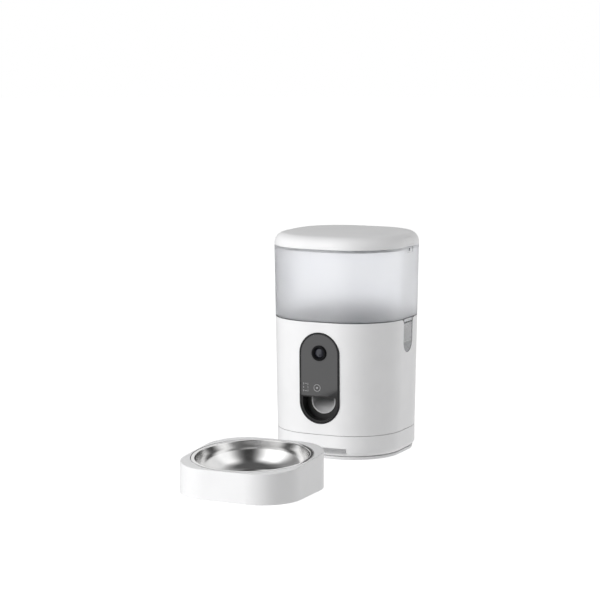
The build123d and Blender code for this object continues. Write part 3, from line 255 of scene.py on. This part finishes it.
def combine_vectors(tree, operation, first, second=None):
    """Result of a calculation with one or two vectors, of which the second may be fixed."""
    node = tree.nodes.new("ShaderNodeVectorMath")
    node.operation = operation
    tree.links.new(first, node.inputs[0])
    if isinstance(second, (tuple, Vector)):
        node.inputs[1].default_value = second
    elif second is not None:
        tree.links.new(second, node.inputs[1])
    return node.outputs["Value" if operation in ("DOT_PRODUCT", "LENGTH") else "Vector"]


def tint(tree, value, dark, light):
    """Colour between two tones, over the range of noise values."""
    ramp = tree.nodes.new("ShaderNodeValToRGB")
    for stop, position, colour in zip(ramp.color_ramp.elements, NOISE_RANGE, (dark, light)):
        stop.position = position
        stop.color = (*colour, 1.0)
    tree.links.new(value, ramp.inputs["Fac"])
    return ramp.outputs["Color"]


def mixed(tree, share, first, second):
    """Colour between two colours, each from a node or fixed."""
    node = tree.nodes.new("ShaderNodeMix")
    node.data_type = "RGBA"
    tree.links.new(share, node.inputs["Factor"])
    for socket, colour in (("A", first), ("B", second)):
        if isinstance(colour, tuple):
            node.inputs[socket].default_value = (*colour, 1.0)
        else:
            tree.links.new(colour, node.inputs[socket])
    return node.outputs["Result"]


def shade(colour, share):
    """Colour at a share of its brightness."""
    return tuple(channel * share for channel in colour)


def bump(tree, height, depth, strength):
    """Normal from a height, with the relief's depth in metres."""
    node = tree.nodes.new("ShaderNodeBump")
    node.inputs["Strength"].default_value = strength
    node.inputs["Distance"].default_value = depth
    tree.links.new(height, node.inputs["Height"])
    return node.outputs["Normal"]


# Masks over a piece

def inner_mask(tree):
    """One on faces turned towards the piece's upright axis, nought on faces turned away from it."""
    normal = tree.nodes.new("ShaderNodeTexCoord").outputs["Normal"]
    outward = combine_vectors(tree, "DOT_PRODUCT", place_coords(tree, (1.0, 1.0, 0.0)), normal)
    return spread(tree, outward, 1.0, 0.0, *INWARDS)


def upright_band(tree, azimuth, near, far):
    """One on an upright line at an azimuth from the front towards +X, less towards the far side of it.

    Near and far are distances past the line at which the band begins and ends."""
    turn = math.radians(azimuth)
    coords = place_coords(tree)
    across = combine_vectors(tree, "DOT_PRODUCT", coords, (math.cos(turn), math.sin(turn), 0.0))
    along = combine_vectors(tree, "DOT_PRODUCT", coords, (math.sin(turn), -math.cos(turn), 0.0))
    before = spread(tree, across, 0.0, 1.0, near - BAND_EDGE, near)
    after = spread(tree, across, 1.0, 0.0, near, far)
    same_side = spread(tree, along, 0.0, 1.0, 0.0, FADE)
    return combine(tree, "MULTIPLY", combine(tree, "MINIMUM", before, after), same_side)


def edge_mask(tree, radius):
    """One along sharp edges, nought a radius away from them."""
    rounded = tree.nodes.new("ShaderNodeBevel")
    rounded.samples = RAY_SAMPLES
    rounded.inputs["Radius"].default_value = radius
    normal = tree.nodes.new("ShaderNodeNewGeometry").outputs["Normal"]
    turn = combine_vectors(tree, "DOT_PRODUCT", rounded.outputs["Normal"], normal)
    return spread(tree, turn, 1.0, 0.0, *EDGE_TURN)


def level_line(tree, height, level):
    """One on a thin line round the piece at a level."""
    away = combine(tree, "ABSOLUTE", combine(tree, "SUBTRACT", height, level))
    return spread(tree, away, 1.0, 0.0, LINE_HALF * LINE_CORE, LINE_HALF)


def near_axis(tree, reach):
    """One within a reach of the upright axis."""
    away = combine_vectors(tree, "LENGTH", place_coords(tree, (1.0, 1.0, 0.0)))
    return spread(tree, away, 1.0, 0.0, reach, reach + FADE)


def corner_shade(tree, colour, least):
    """Colour made darker in joints and inner corners where little light reaches: painted shade from an
    occlusion test.
    """
    node = tree.nodes.new("ShaderNodeAmbientOcclusion")
    node.samples = RAY_SAMPLES
    node.inputs["Distance"].default_value = CORNER_REACH
    height = separated(tree, place_coords(tree))["Z"]
    share = spread(tree, node.outputs["AO"], least, 1.0, *CORNER_OPEN)
    share = combine(tree, "MAXIMUM", share, spread(tree, height, 1.0, 0.0, *CORNER_LOW))
    scale = tree.nodes.new("ShaderNodeVectorMath")
    scale.operation = "SCALE"
    tree.links.new(colour, scale.inputs[0])
    tree.links.new(share, scale.inputs["Scale"])
    return scale.outputs["Vector"]


# Materials

def moulded(name, colour, roughness, grain=0.012, variation=0.97, specular=0.5, inward_shade=None, shade_band=None,
            corner=CORNER_TONE):
    """Moulded plastic: a fine spark-eroded grain, its depth in mm, faint flow mottling, uneven gloss
    and painted shade in joints and inner corners.

        Inward shade gives two levels and the tones at them for painted shade on faces turned inwards,
        darker towards the bottom. Shade band gives the place and tone of an upright band of painted
        shade, and whether it is on faces turned inwards."""
    material, tree, shader = principled(name)
    coords = place_coords(tree)
    mottle = noise(tree, coords, scale=28.0, detail=3.0)
    skin = tint(tree, mottle, shade(colour, variation), colour)
    # Painted shade on faces turned inwards, darker towards the bottom
    if inward_shade:
        low, high, low_tone, high_tone = inward_shade
        deep = spread(tree, separated(tree, coords)["Z"], *NOISE_RANGE, low, high)
        painted_depth_shade = tint(tree, deep, shade(colour, low_tone), shade(colour, high_tone))
        skin = mixed(tree, inner_mask(tree), skin, painted_depth_shade)
    # Painted shade in an upright band
    if shade_band:
        azimuth, near, far, tone, inwards = shade_band
        turned = inner_mask(tree)
        if not inwards:
            turned = opposite(tree, turned)
        share = combine(tree, "MULTIPLY", upright_band(tree, azimuth, near, far), turned)
        skin = mixed(tree, share, skin, shade(colour, tone))
    tree.links.new(corner_shade(tree, skin, corner), shader.inputs["Base Color"])
    gloss = noise(tree, coords, scale=420.0)
    uneven = spread(tree, gloss, roughness - PLASTIC_SWING, roughness + PLASTIC_SWING)
    tree.links.new(uneven, shader.inputs["Roughness"])
    fine = noise(tree, coords, scale=2400.0)
    tree.links.new(bump(tree, fine, depth=grain * MM, strength=0.5), shader.inputs["Normal"])
    shader.inputs["Specular IOR Level"].default_value = specular
    return material


def frosted(name):
    """Hopper plastic: milky wall and funnel, clearer collar and legs, with painted dark lines along edges and
    in the pads' holes, standing in for refraction.
    """
    material, tree, shader = principled(name)
    coords = place_coords(tree)
    parts = separated(tree, coords)
    height = parts["Z"]
    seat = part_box("main_housing")[1].z
    low_part = spread(tree, height, 1.0, 0.0, seat - FADE / 2, seat + FADE / 2)
    collar = spread(tree, height, 1.0, 0.0, COLLAR_TOP - 2 * FADE, COLLAR_TOP - FADE)
    legs = combine(tree, "SUBTRACT", low_part, near_axis(tree, LEG_REACH))

    wall_tone = tint(tree, noise(tree, coords, scale=24.0), *WALL_COLOURS)
    funnel = spread(tree, height, *NOISE_RANGE, COLLAR_TOP - FADE, COLLAR_TOP + FADE)
    low_tone = tint(tree, funnel, COLLAR_COLOUR, FUNNEL_COLOUR)
    body_tone = mixed(tree, low_part, wall_tone, low_tone)

    pad_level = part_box("hopper")[1].z - PAD_DROP
    pad_low = pad_level - PAD_DOWN
    aside = combine(tree, "ABSOLUTE", parts["Y"])
    pad_sides = spread(tree, aside, 1.0, 0.0, PAD_REACH, PAD_REACH + FADE)
    pads = combine(tree, "MULTIPLY", pad_sides, spread(tree, height, 0.0, PAD_TONE, pad_low, pad_low + FADE))
    from_hole = combine_vectors(tree, "SUBTRACT", place_coords(tree, (0.0, 1.0, 1.0)), (0.0, 0.0, pad_level))
    away = combine_vectors(tree, "LENGTH", from_hole)
    hole = spread(tree, away, PAD_HOLE_TONE, 0.0, PAD_HOLE, PAD_HOLE + PAD_HOLE_FADE)

    # Painted dark lines along edges, in the pads' holes and at the level lines, standing in for refraction
    edged = combine(tree, "MAXIMUM", combine(tree, "MAXIMUM", collar, legs), pads)
    refraction_lines = combine(tree, "MULTIPLY", edge_mask(tree, EDGE_RADIUS), edged)
    refraction_lines = combine(tree, "MAXIMUM", refraction_lines, hole)
    for level, reach in HOPPER_REFRACTION_LINES:
        ring = combine(tree, "MULTIPLY", level_line(tree, height, level), near_axis(tree, reach))
        refraction_lines = combine(tree, "MAXIMUM", refraction_lines, ring)
    tree.links.new(mixed(tree, refraction_lines, body_tone, REFRACTION_LINE_COLOUR), shader.inputs["Base Color"])

    frost = spread(tree, height, COLLAR_ROUGHNESS, FUNNEL_ROUGHNESS, COLLAR_TOP - FADE, COLLAR_TOP + 3 * FADE)
    clearer = spread(tree, legs, 1.0, LEG_ROUGHNESS, 0.0, 1.0)
    tree.links.new(combine(tree, "MULTIPLY", frost, clearer), shader.inputs["Roughness"])
    fine = combine(tree, "MULTIPLY", noise(tree, coords, scale=1800.0), opposite(tree, low_part))
    tree.links.new(bump(tree, fine, depth=0.004 * MM, strength=0.2), shader.inputs["Normal"])
    shader.inputs["Transmission Weight"].default_value = 0.92
    shader.inputs["IOR"].default_value = 1.49
    return material


def spun_steel(name):
    """Bowl steel: polished, with faint turning rings about the bowl's axis."""
    material, tree, shader = principled(name)
    low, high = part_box("steel_bowl")
    coords = tree.nodes.new("ShaderNodeTexCoord").outputs["Object"]
    rings = tree.nodes.new("ShaderNodeTexWave")
    rings.wave_type = "RINGS"
    rings.rings_direction = "Z"
    rings.inputs["Scale"].default_value = 220.0
    rings.inputs["Distortion"].default_value = 1.5
    rings.inputs["Detail"].default_value = 2.0
    tree.links.new(combine_vectors(tree, "SUBTRACT", coords, (low + high) / 2), rings.inputs["Vector"])
    relief = bump(tree, rings.outputs["Fac"], depth=0.002 * MM, strength=0.25)
    tree.links.new(relief, shader.inputs["Normal"])
    smear = noise(tree, coords, scale=60.0, detail=3.0)
    tree.links.new(spread(tree, smear, *STEEL_ROUGHNESS), shader.inputs["Roughness"])
    tree.links.new(tint(tree, smear, *STEEL_COLOURS), shader.inputs["Base Color"])
    tangent = tree.nodes.new("ShaderNodeTangent")
    tangent.direction_type = "RADIAL"
    tangent.axis = "Z"
    tree.links.new(tangent.outputs["Tangent"], shader.inputs["Tangent"])
    shader.inputs["Anisotropic"].default_value = 0.2
    shader.inputs["Metallic"].default_value = 1.0
    return material


def gloss_panel(name, colour, roughness, coat):
    """Hard gloss plastic with faint handling smears."""
    material, tree, shader = principled(name)
    coords = place_coords(tree)
    smear = noise(tree, coords, scale=90.0, detail=4.0)
    tree.links.new(spread(tree, smear, roughness, roughness + PANEL_SMEAR), shader.inputs["Roughness"])
    cloud = noise(tree, coords, scale=30.0)
    tree.links.new(tint(tree, cloud, shade(colour, PANEL_VARIATION), colour), shader.inputs["Base Color"])
    shader.inputs["Coat Weight"].default_value = coat
    shader.inputs["Coat Roughness"].default_value = 0.04
    return material


def metal(name, colour, roughness, stretch):
    """Plated or cast metal with fine upright scratches, longer the smaller the stretch."""
    material, tree, shader = principled(name)
    streak = noise(tree, place_coords(tree, (1.0, 1.0, stretch)), scale=900.0, detail=3.0)
    uneven = spread(tree, streak, roughness - METAL_SWING, roughness + METAL_SWING)
    tree.links.new(uneven, shader.inputs["Roughness"])
    tree.links.new(tint(tree, streak, shade(colour, METAL_VARIATION), colour), shader.inputs["Base Color"])
    tree.links.new(bump(tree, streak, depth=0.01 * MM, strength=0.4), shader.inputs["Normal"])
    shader.inputs["Metallic"].default_value = 1.0
    return material


def circuit(name):
    """Circuit board: solder mask over rows of tracks."""
    material, tree, shader = principled(name)
    coords = place_coords(tree)
    tracks = tree.nodes.new("ShaderNodeTexBrick")
    tracks.inputs["Scale"].default_value = 160.0
    tracks.inputs["Color1"].default_value = (0.01, 0.09, 0.04, 1.0)
    tracks.inputs["Color2"].default_value = (0.012, 0.12, 0.05, 1.0)
    tracks.inputs["Mortar"].default_value = (0.03, 0.2, 0.09, 1.0)
    tracks.inputs["Mortar Size"].default_value = 0.03
    tree.links.new(coords, tracks.inputs["Vector"])
    tree.links.new(tracks.outputs["Color"], shader.inputs["Base Color"])
    relief = bump(tree, tracks.outputs["Fac"], depth=0.03 * MM, strength=0.5)
    tree.links.new(relief, shader.inputs["Normal"])
    gloss = noise(tree, coords, scale=300.0)
    tree.links.new(spread(tree, gloss, *BOARD_ROUGHNESS), shader.inputs["Roughness"])
    return material


def camera_glass(name):
    """Coated front lens over a dark barrel."""
    material, tree, shader = principled(name)
    cloud = noise(tree, place_coords(tree), scale=160.0)
    tree.links.new(tint(tree, cloud, *LENS_COLOURS), shader.inputs["Base Color"])
    tree.links.new(spread(tree, cloud, *LENS_ROUGHNESS), shader.inputs["Roughness"])
    shader.inputs["IOR"].default_value = 1.42
    shader.inputs["Coat Weight"].default_value = 0.3
    shader.inputs["Coat Tint"].default_value = (0.8, 0.85, 1.0, 1.0)
    return material


LOOKS = {
    "white_housing": moulded(
        "look_white_housing", WHITE_PLASTIC, roughness=0.42, inward_shade=HOUSING_INWARD_SHADE, shade_band=CHANNEL_SHADE_BAND
    ),
    "white_lid": moulded("look_white_lid", WHITE_PLASTIC, roughness=0.42, corner=LID_CORNER_TONE),
    "lid_inner": moulded("look_lid_inner", (0.82, 0.82, 0.825), roughness=0.48),
    "white_tray": moulded("look_white_tray", WHITE_PLASTIC, roughness=0.42),
    # The well's grey is painted shade: the tray's white plastic as it looks in the shade under the bowl
    "grey_well": moulded("look_well_painted_shade", (0.64, 0.64, 0.645), roughness=0.55, grain=0.02),
    "grey_base": moulded("look_grey_base", (0.80, 0.80, 0.805), roughness=0.5),
    "grey_rubber": moulded(
        "look_grey_rubber", (0.28, 0.28, 0.285), roughness=0.75, grain=0.03, variation=0.9, specular=0.3
    ),
    "pale_seal": moulded(
        "look_pale_seal", (0.70, 0.72, 0.74), roughness=0.6, grain=0.02, variation=0.95, specular=0.35
    ),
    "frosted_clear": frosted("look_frosted_clear"),
    "black_gloss": moulded(
        "look_black_gloss", (0.010, 0.010, 0.011), roughness=0.30, grain=0.006, variation=0.9, specular=0.22
    ),
    "smoked_panel": gloss_panel("look_smoked_panel", (0.030, 0.030, 0.031), roughness=0.05, coat=0.3),
    "black_recess": moulded(
        "look_black_recess", (0.020, 0.020, 0.020), roughness=0.40, grain=0.01, variation=0.9, specular=0.3
    ),
    "grey_chute": moulded("look_grey_chute", (0.50, 0.50, 0.504), roughness=0.40, grain=0.01, variation=0.93),
    "camera_black": moulded(
        "look_camera_black", (0.006, 0.006, 0.007), roughness=0.34, grain=0.006, variation=0.9, specular=0.10
    ),
    "camera_glass": camera_glass("look_camera_glass"),
    "polished_steel": spun_steel("look_polished_steel"),
    "zinc_screw": metal("look_zinc_screw", (0.62, 0.62, 0.60), roughness=0.34, stretch=0.2),
    "circuit_board": circuit("look_circuit_board"),
    "white_cup": moulded(
        "look_white_cup", (0.86, 0.86, 0.86), roughness=0.38, inward_shade=CUP_INWARD_SHADE, shade_band=STEP_SHADOW_BAND
    ),
    "inner_white": moulded("look_inner_white", (0.80, 0.80, 0.80), roughness=0.5),
    "rotor_grey": moulded("look_rotor_grey", (0.46, 0.47, 0.48), roughness=0.45),
    "gear_nylon": moulded("look_gear_nylon", (0.78, 0.76, 0.70), roughness=0.4),
    "plate_grey": metal("look_plate_grey", (0.55, 0.55, 0.56), roughness=0.42, stretch=0.1),
    "motor_case": metal("look_motor_case", (0.60, 0.60, 0.60), roughness=0.32, stretch=0.05),
    "black_moulding": moulded(
        "look_black_moulding", (0.02, 0.02, 0.021), roughness=0.5, grain=0.02, variation=0.9, specular=0.4
    ),
}

for node in NODES.values():
    slot = node.data.materials[0].name
    node.material_slots[0].material = LOOKS[slot]


# Pieces made here: the printed signs, and the bowl turned finer than its solid

def face_plane(name, facing):
    """Frame on a node's front: X to the right, Y up, Z out of it."""
    faces = [face for face in NODES[name].data.polygons if face.normal.dot(facing) > FACING_LEAST]
    furthest = max(face.center.dot(facing) for face in faces)
    front = [face for face in faces if face.center.dot(facing) > furthest - FACING_DEPTH]
    out = sum((face.normal * face.area for face in front), Vector()).normalized()
    spot = sum((face.center * face.area for face in front), Vector()) / sum(face.area for face in front)
    right = Vector((0, 0, 1)).cross(out).normalized()
    up = out.cross(right)
    turn = Matrix((right, up, out)).transposed().to_4x4()
    return Matrix.Translation(spot) @ turn


def finish_piece(mesh_data, name, body, look):
    """Object from a bmesh, with its material, slot and body."""
    mesh = bpy.data.meshes.new(name)
    bmesh.ops.recalc_face_normals(mesh_data, faces=mesh_data.faces)
    mesh_data.to_mesh(mesh)
    mesh_data.free()
    piece = bpy.data.objects.new(name, mesh)
    bpy.context.scene.collection.objects.link(piece)
    mesh.materials.append(look)
    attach(piece, body)
    return piece


def sign_plate(made, base, outline, hole=None):
    """Adds a thin plate on the panel with an outline and, if given, a hole with as many points."""
    levels = []
    for height in (-SIGN_SUNK, SIGN_PROUD):
        outer = [made.verts.new(base @ Vector((x, y, height))) for x, y in outline]
        inner = [made.verts.new(base @ Vector((x, y, height))) for x, y in hole or ()]
        levels.append((outer, inner))
    count = len(outline)
    (outer_low, inner_low), (outer_high, inner_high) = levels
    for i in range(count):
        j = (i + 1) % count
        made.faces.new((outer_low[i], outer_low[j], outer_high[j], outer_high[i]))
        if hole:
            made.faces.new((inner_low[j], inner_low[i], inner_high[i], inner_high[j]))
            made.faces.new((outer_high[i], outer_high[j], inner_high[j], inner_high[i]))
            made.faces.new((outer_low[j], outer_low[i], inner_low[i], inner_low[j]))
    if not hole:
        made.faces.new(outer_high)
        made.faces.new(list(reversed(outer_low)))


def circle(radius, count, x=0.0, y=0.0):
    """Points round a circle."""
    turns = [2 * math.pi * i / count for i in range(count)]
    return [(x + radius * math.cos(turn), y + radius * math.sin(turn)) for turn in turns]


def rectangle(x, y, width, height):
    """Corner points of a rectangle about its middle."""
    half_wide, half_high = width / 2, height / 2
    return [
        (x - half_wide, y - half_high), (x + half_wide, y - half_high),
        (x + half_wide, y + half_high), (x - half_wide, y + half_high),
    ]


def touch_signs():
    """Printed signs of the two touch keys, standing a hair proud of the panel."""
    base = face_plane("front_panel", Vector((0, -1, 0)))
    level = (base.inverted() @ Vector((0.0, base.translation.y, SIGN_Z))).y
    made = bmesh.new()
    ring = circle(RING_RADIUS, RING_POINTS, RING_X, level)
    bore = circle(RING_RADIUS - RING_LINE, RING_POINTS, RING_X, level)
    sign_plate(made, base, ring, bore)
    sign_plate(made, base, circle(DOT_RADIUS, DOT_POINTS, RING_X, level))
    for side in (-1, 1):
        side_x = DASH_X + side * DASH_WIDTH / 2
        for step in (-1, 0, 1):
            sign_plate(made, base, rectangle(side_x, level + step * DASH_STEP, DASH_LINE, UPRIGHT_DASH))
        sign_plate(made, base, rectangle(DASH_X, level + side * DASH_HEIGHT / 2, LEVEL_DASH, DASH_LINE))
    ink = moulded("look_sign_ink", INK, roughness=0.5)
    return finish_piece(made, "touch_signs", "body", ink)


def arc(middle, radius, start, end, steps):
    """Points along an arc from one angle to another, both ends among them."""
    turns = [start + (end - start) * i / steps for i in range(steps + 1)]
    return [middle + radius * Vector((math.cos(turn), math.sin(turn))) for turn in turns]


def bowl_side(inset):
    """Points of the bowl's floor, round and wall up to the rim's middle, inset from the outside."""
    knee = Vector((BOWL_KNEE - inset, BOWL_FLOOR + inset))
    mouth = Vector((BOWL_MOUTH - inset, 0.0))
    wall = (mouth - knee).normalized()
    radius = BOWL_ROUND - inset
    tangent = radius / math.tan(math.acos(-wall.x) / 2)
    middle = Vector((knee.x - tangent, knee.y + radius))
    points = [Vector((middle.x * i / FLOOR_STEPS, knee.y)) for i in range(1, FLOOR_STEPS)]
    points += arc(middle, radius, -math.pi / 2, math.atan2(-wall.x, wall.y), ROUND_STEPS)
    start = points[-1]
    points += [start.lerp(mouth, i / WALL_STEPS) for i in range(1, WALL_STEPS + 1)]
    return points


def steel_bowl():
    """Spun bowl with a rolled rim, finer than its solid so that reflections run smoothly."""
    low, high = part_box("steel_bowl")
    rim_mid = BOWL_RIM_RADIUS - BOWL_RIM_ROUND
    spot = Vector((
        (low.x + high.x) / 2,
        (low.y + high.y) / 2,
        high.z - rim_mid * math.sin(BOWL_TILT) - BOWL_RIM_ROUND,
    ))
    base = Matrix.Translation(spot) @ Matrix.Rotation(BOWL_TILT, 4, "X")
    outer = [point for point in bowl_side(0.0) if point.y < -BOWL_RIM_ROUND]
    inner = bowl_side(BOWL_GAUGE)
    inner_mid = BOWL_MOUTH - BOWL_GAUGE + BOWL_RIM_ROUND
    rim = [Vector((outer[-1].x, -BOWL_RIM_ROUND))]
    rim += arc(Vector((rim_mid, 0.0)), BOWL_RIM_ROUND, -math.pi / 2, math.pi / 2, RIM_STEPS)
    # The last point is the wall's own
    rim += arc(Vector((inner_mid, 0.0)), BOWL_RIM_ROUND, math.pi / 2, math.pi, INNER_RIM_STEPS)[:-1]
    profile = outer + rim + list(reversed(inner))
    made = bmesh.new()
    rings = []
    for point in profile:
        turns = circle(point.x, BOWL_TURNS)
        rings.append([made.verts.new(base @ Vector((x, y, point.y))) for x, y in turns])
    for first, second in zip(rings, rings[1:]):
        for i in range(BOWL_TURNS):
            j = (i + 1) % BOWL_TURNS
            made.faces.new((first[i], first[j], second[j], second[i]))
    for ring in (rings[0], rings[-1]):
        hub = made.verts.new(sum((vert.co for vert in ring), Vector()) / BOWL_TURNS)
        for i in range(BOWL_TURNS):
            made.faces.new((ring[i], ring[(i + 1) % BOWL_TURNS], hub))
    piece = finish_piece(made, "bowl_spun", "bowl", LOOKS["polished_steel"])
    piece.data.shade_smooth()
    piece.data.set_sharp_from_angle(angle=BOWL_SHARP)
    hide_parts("steel_bowl")
    return piece


touch_signs()
steel_bowl()


# Studio: floor, lights, surroundings and camera

def seen_directly(tree):
    """One where the camera sees it, also through clear plastic, nought where it lights or reflects."""
    path = tree.nodes.new("ShaderNodeLightPath")
    return combine(tree, "MAXIMUM", path.outputs["Is Camera Ray"], path.outputs["Is Transmission Ray"])


def studio_floor():
    """Round pale floor with an even glow, which fades into the white behind it."""
    made = bmesh.new()
    bmesh.ops.create_circle(made, cap_ends=True, segments=FLOOR_SEGMENTS, radius=FLOOR_RADIUS)
    mesh = bpy.data.meshes.new("floor")
    made.to_mesh(mesh)
    made.free()
    floor = bpy.data.objects.new("floor", mesh)
    bpy.context.scene.collection.objects.link(floor)
    material, tree, shader = principled("look_floor")
    shader.inputs["Base Color"].default_value = (*FLOOR_TONE, 1.0)
    shader.inputs["Roughness"].default_value = 0.9
    shader.inputs["Specular IOR Level"].default_value = 0.0
    shader.inputs["Emission Color"].default_value = (*WHITE, 1.0)
    away = combine_vectors(tree, "LENGTH", place_coords(tree))
    glow = spread(tree, away, FLOOR_GLOW_NEAR, FLOOR_GLOW_FAR, GLOW_RISE_START, GLOW_RISE_END)
    share = spread(tree, seen_directly(tree), FLOOR_BOUNCE, 1.0, 0.0, 1.0)
    tree.links.new(combine(tree, "MULTIPLY", glow, share), shader.inputs["Emission Strength"])
    mesh.materials.append(material)
    floor.visible_glossy = False
    return floor


def softbox(name, azimuth, elevation, distance, width, height, power):
    """Area light that looks at the object and doesn't show in gloss."""
    a, e = math.radians(azimuth), math.radians(elevation)
    way = Vector((math.sin(a) * math.cos(e), -math.cos(a) * math.cos(e), math.sin(e)))
    data = bpy.data.lights.new(name, "AREA")
    data.shape = "RECTANGLE"
    data.size, data.size_y = width, height
    data.energy = power
    light = bpy.data.objects.new(name, data)
    light.location = AIM + way * distance
    light.rotation_euler = (-way).to_track_quat("-Z", "Y").to_euler()
    light.visible_camera = False
    light.visible_glossy = False
    bpy.context.scene.collection.objects.link(light)
    return light


def studio_world():
    """White behind the object and clear plastic, softboxes and a back panel in gloss, dim elsewhere."""
    world = bpy.data.worlds.new("studio")
    world.use_nodes = True
    tree = world.node_tree
    way = tree.nodes.new("ShaderNodeTexCoord").outputs["Generated"]
    around = tree.nodes.new("ShaderNodeTexGradient")
    around.gradient_type = "RADIAL"
    tree.links.new(way, around.inputs["Vector"])
    strips = tree.nodes.new("ShaderNodeValToRGB")
    stops = strips.color_ramp.elements
    while len(stops) < len(STRIPS):
        stops.new(0.5)
    # Stops are put in order as they move, so colours come after all the places
    for stop, (azimuth, _) in zip(stops, STRIPS):
        stop.position = (azimuth - STRIP_START) / 360.0
    for stop, (_, tone) in zip(stops, STRIPS):
        stop.color = (tone, tone, tone, 1.0)
    tree.links.new(around.outputs["Fac"], strips.inputs["Fac"])

    rise = separated(tree, way)["Z"]
    turn = math.radians(BACK_PANEL)
    facing = combine_vectors(tree, "DOT_PRODUCT", way, (math.sin(turn), -math.cos(turn), 0.0))
    across = spread(tree, facing, 0.0, 1.0, *BACK_EDGE)
    panel = spread(tree, rise, 0.0, 1.0, *BACK_RISE)
    table = spread(tree, rise, BACK_TABLE, 0.0, *TABLE_RISE)
    back = combine(tree, "MULTIPLY", across, combine(tree, "MAXIMUM", panel, table))
    lit = mixed(tree, back, strips.outputs["Color"], BACK_TONE)
    above = mixed(tree, spread(tree, rise, 0.0, 1.0, *STRIP_TOP), lit, CEILING)
    reflected = mixed(tree, spread(tree, rise, 1.0, 0.0, *GROUND_FROM), above, GROUND)

    glossy = tree.nodes.new("ShaderNodeLightPath").outputs["Is Glossy Ray"]
    unseen = mixed(tree, glossy, WORLD_TONE, reflected)
    backdrop = mixed(tree, seen_directly(tree), unseen, WHITE)
    tree.links.new(backdrop, tree.nodes["Background"].inputs["Color"])
    bpy.context.scene.world = world


def studio_camera():
    """Camera at the photograph's place, with its lens."""
    data = bpy.data.cameras.new("camera")
    data.lens = CAMERA_LENS / MM
    data.sensor_width = SENSOR / MM
    data.clip_end = CAMERA_REACH
    camera = bpy.data.objects.new("camera", data)
    camera.location = CAMERA_PLACE
    camera.rotation_euler = (math.radians(90.0 - CAMERA_PITCH), 0.0, math.radians(CAMERA_HEADING))
    bpy.context.scene.collection.objects.link(camera)
    bpy.context.scene.camera = camera


studio_floor()
softbox("key", azimuth=-31.0, elevation=22.0, distance=2.4, width=1.5, height=1.2, power=49.0)
softbox("top", azimuth=20.0, elevation=84.0, distance=2.2, width=1.0, height=1.0, power=9.0)
softbox("rim", azimuth=126.0, elevation=12.0, distance=2.6, width=1.0, height=1.4, power=21.0)
studio_world()
studio_camera()
bpy.context.scene.view_settings.view_transform = "Standard"
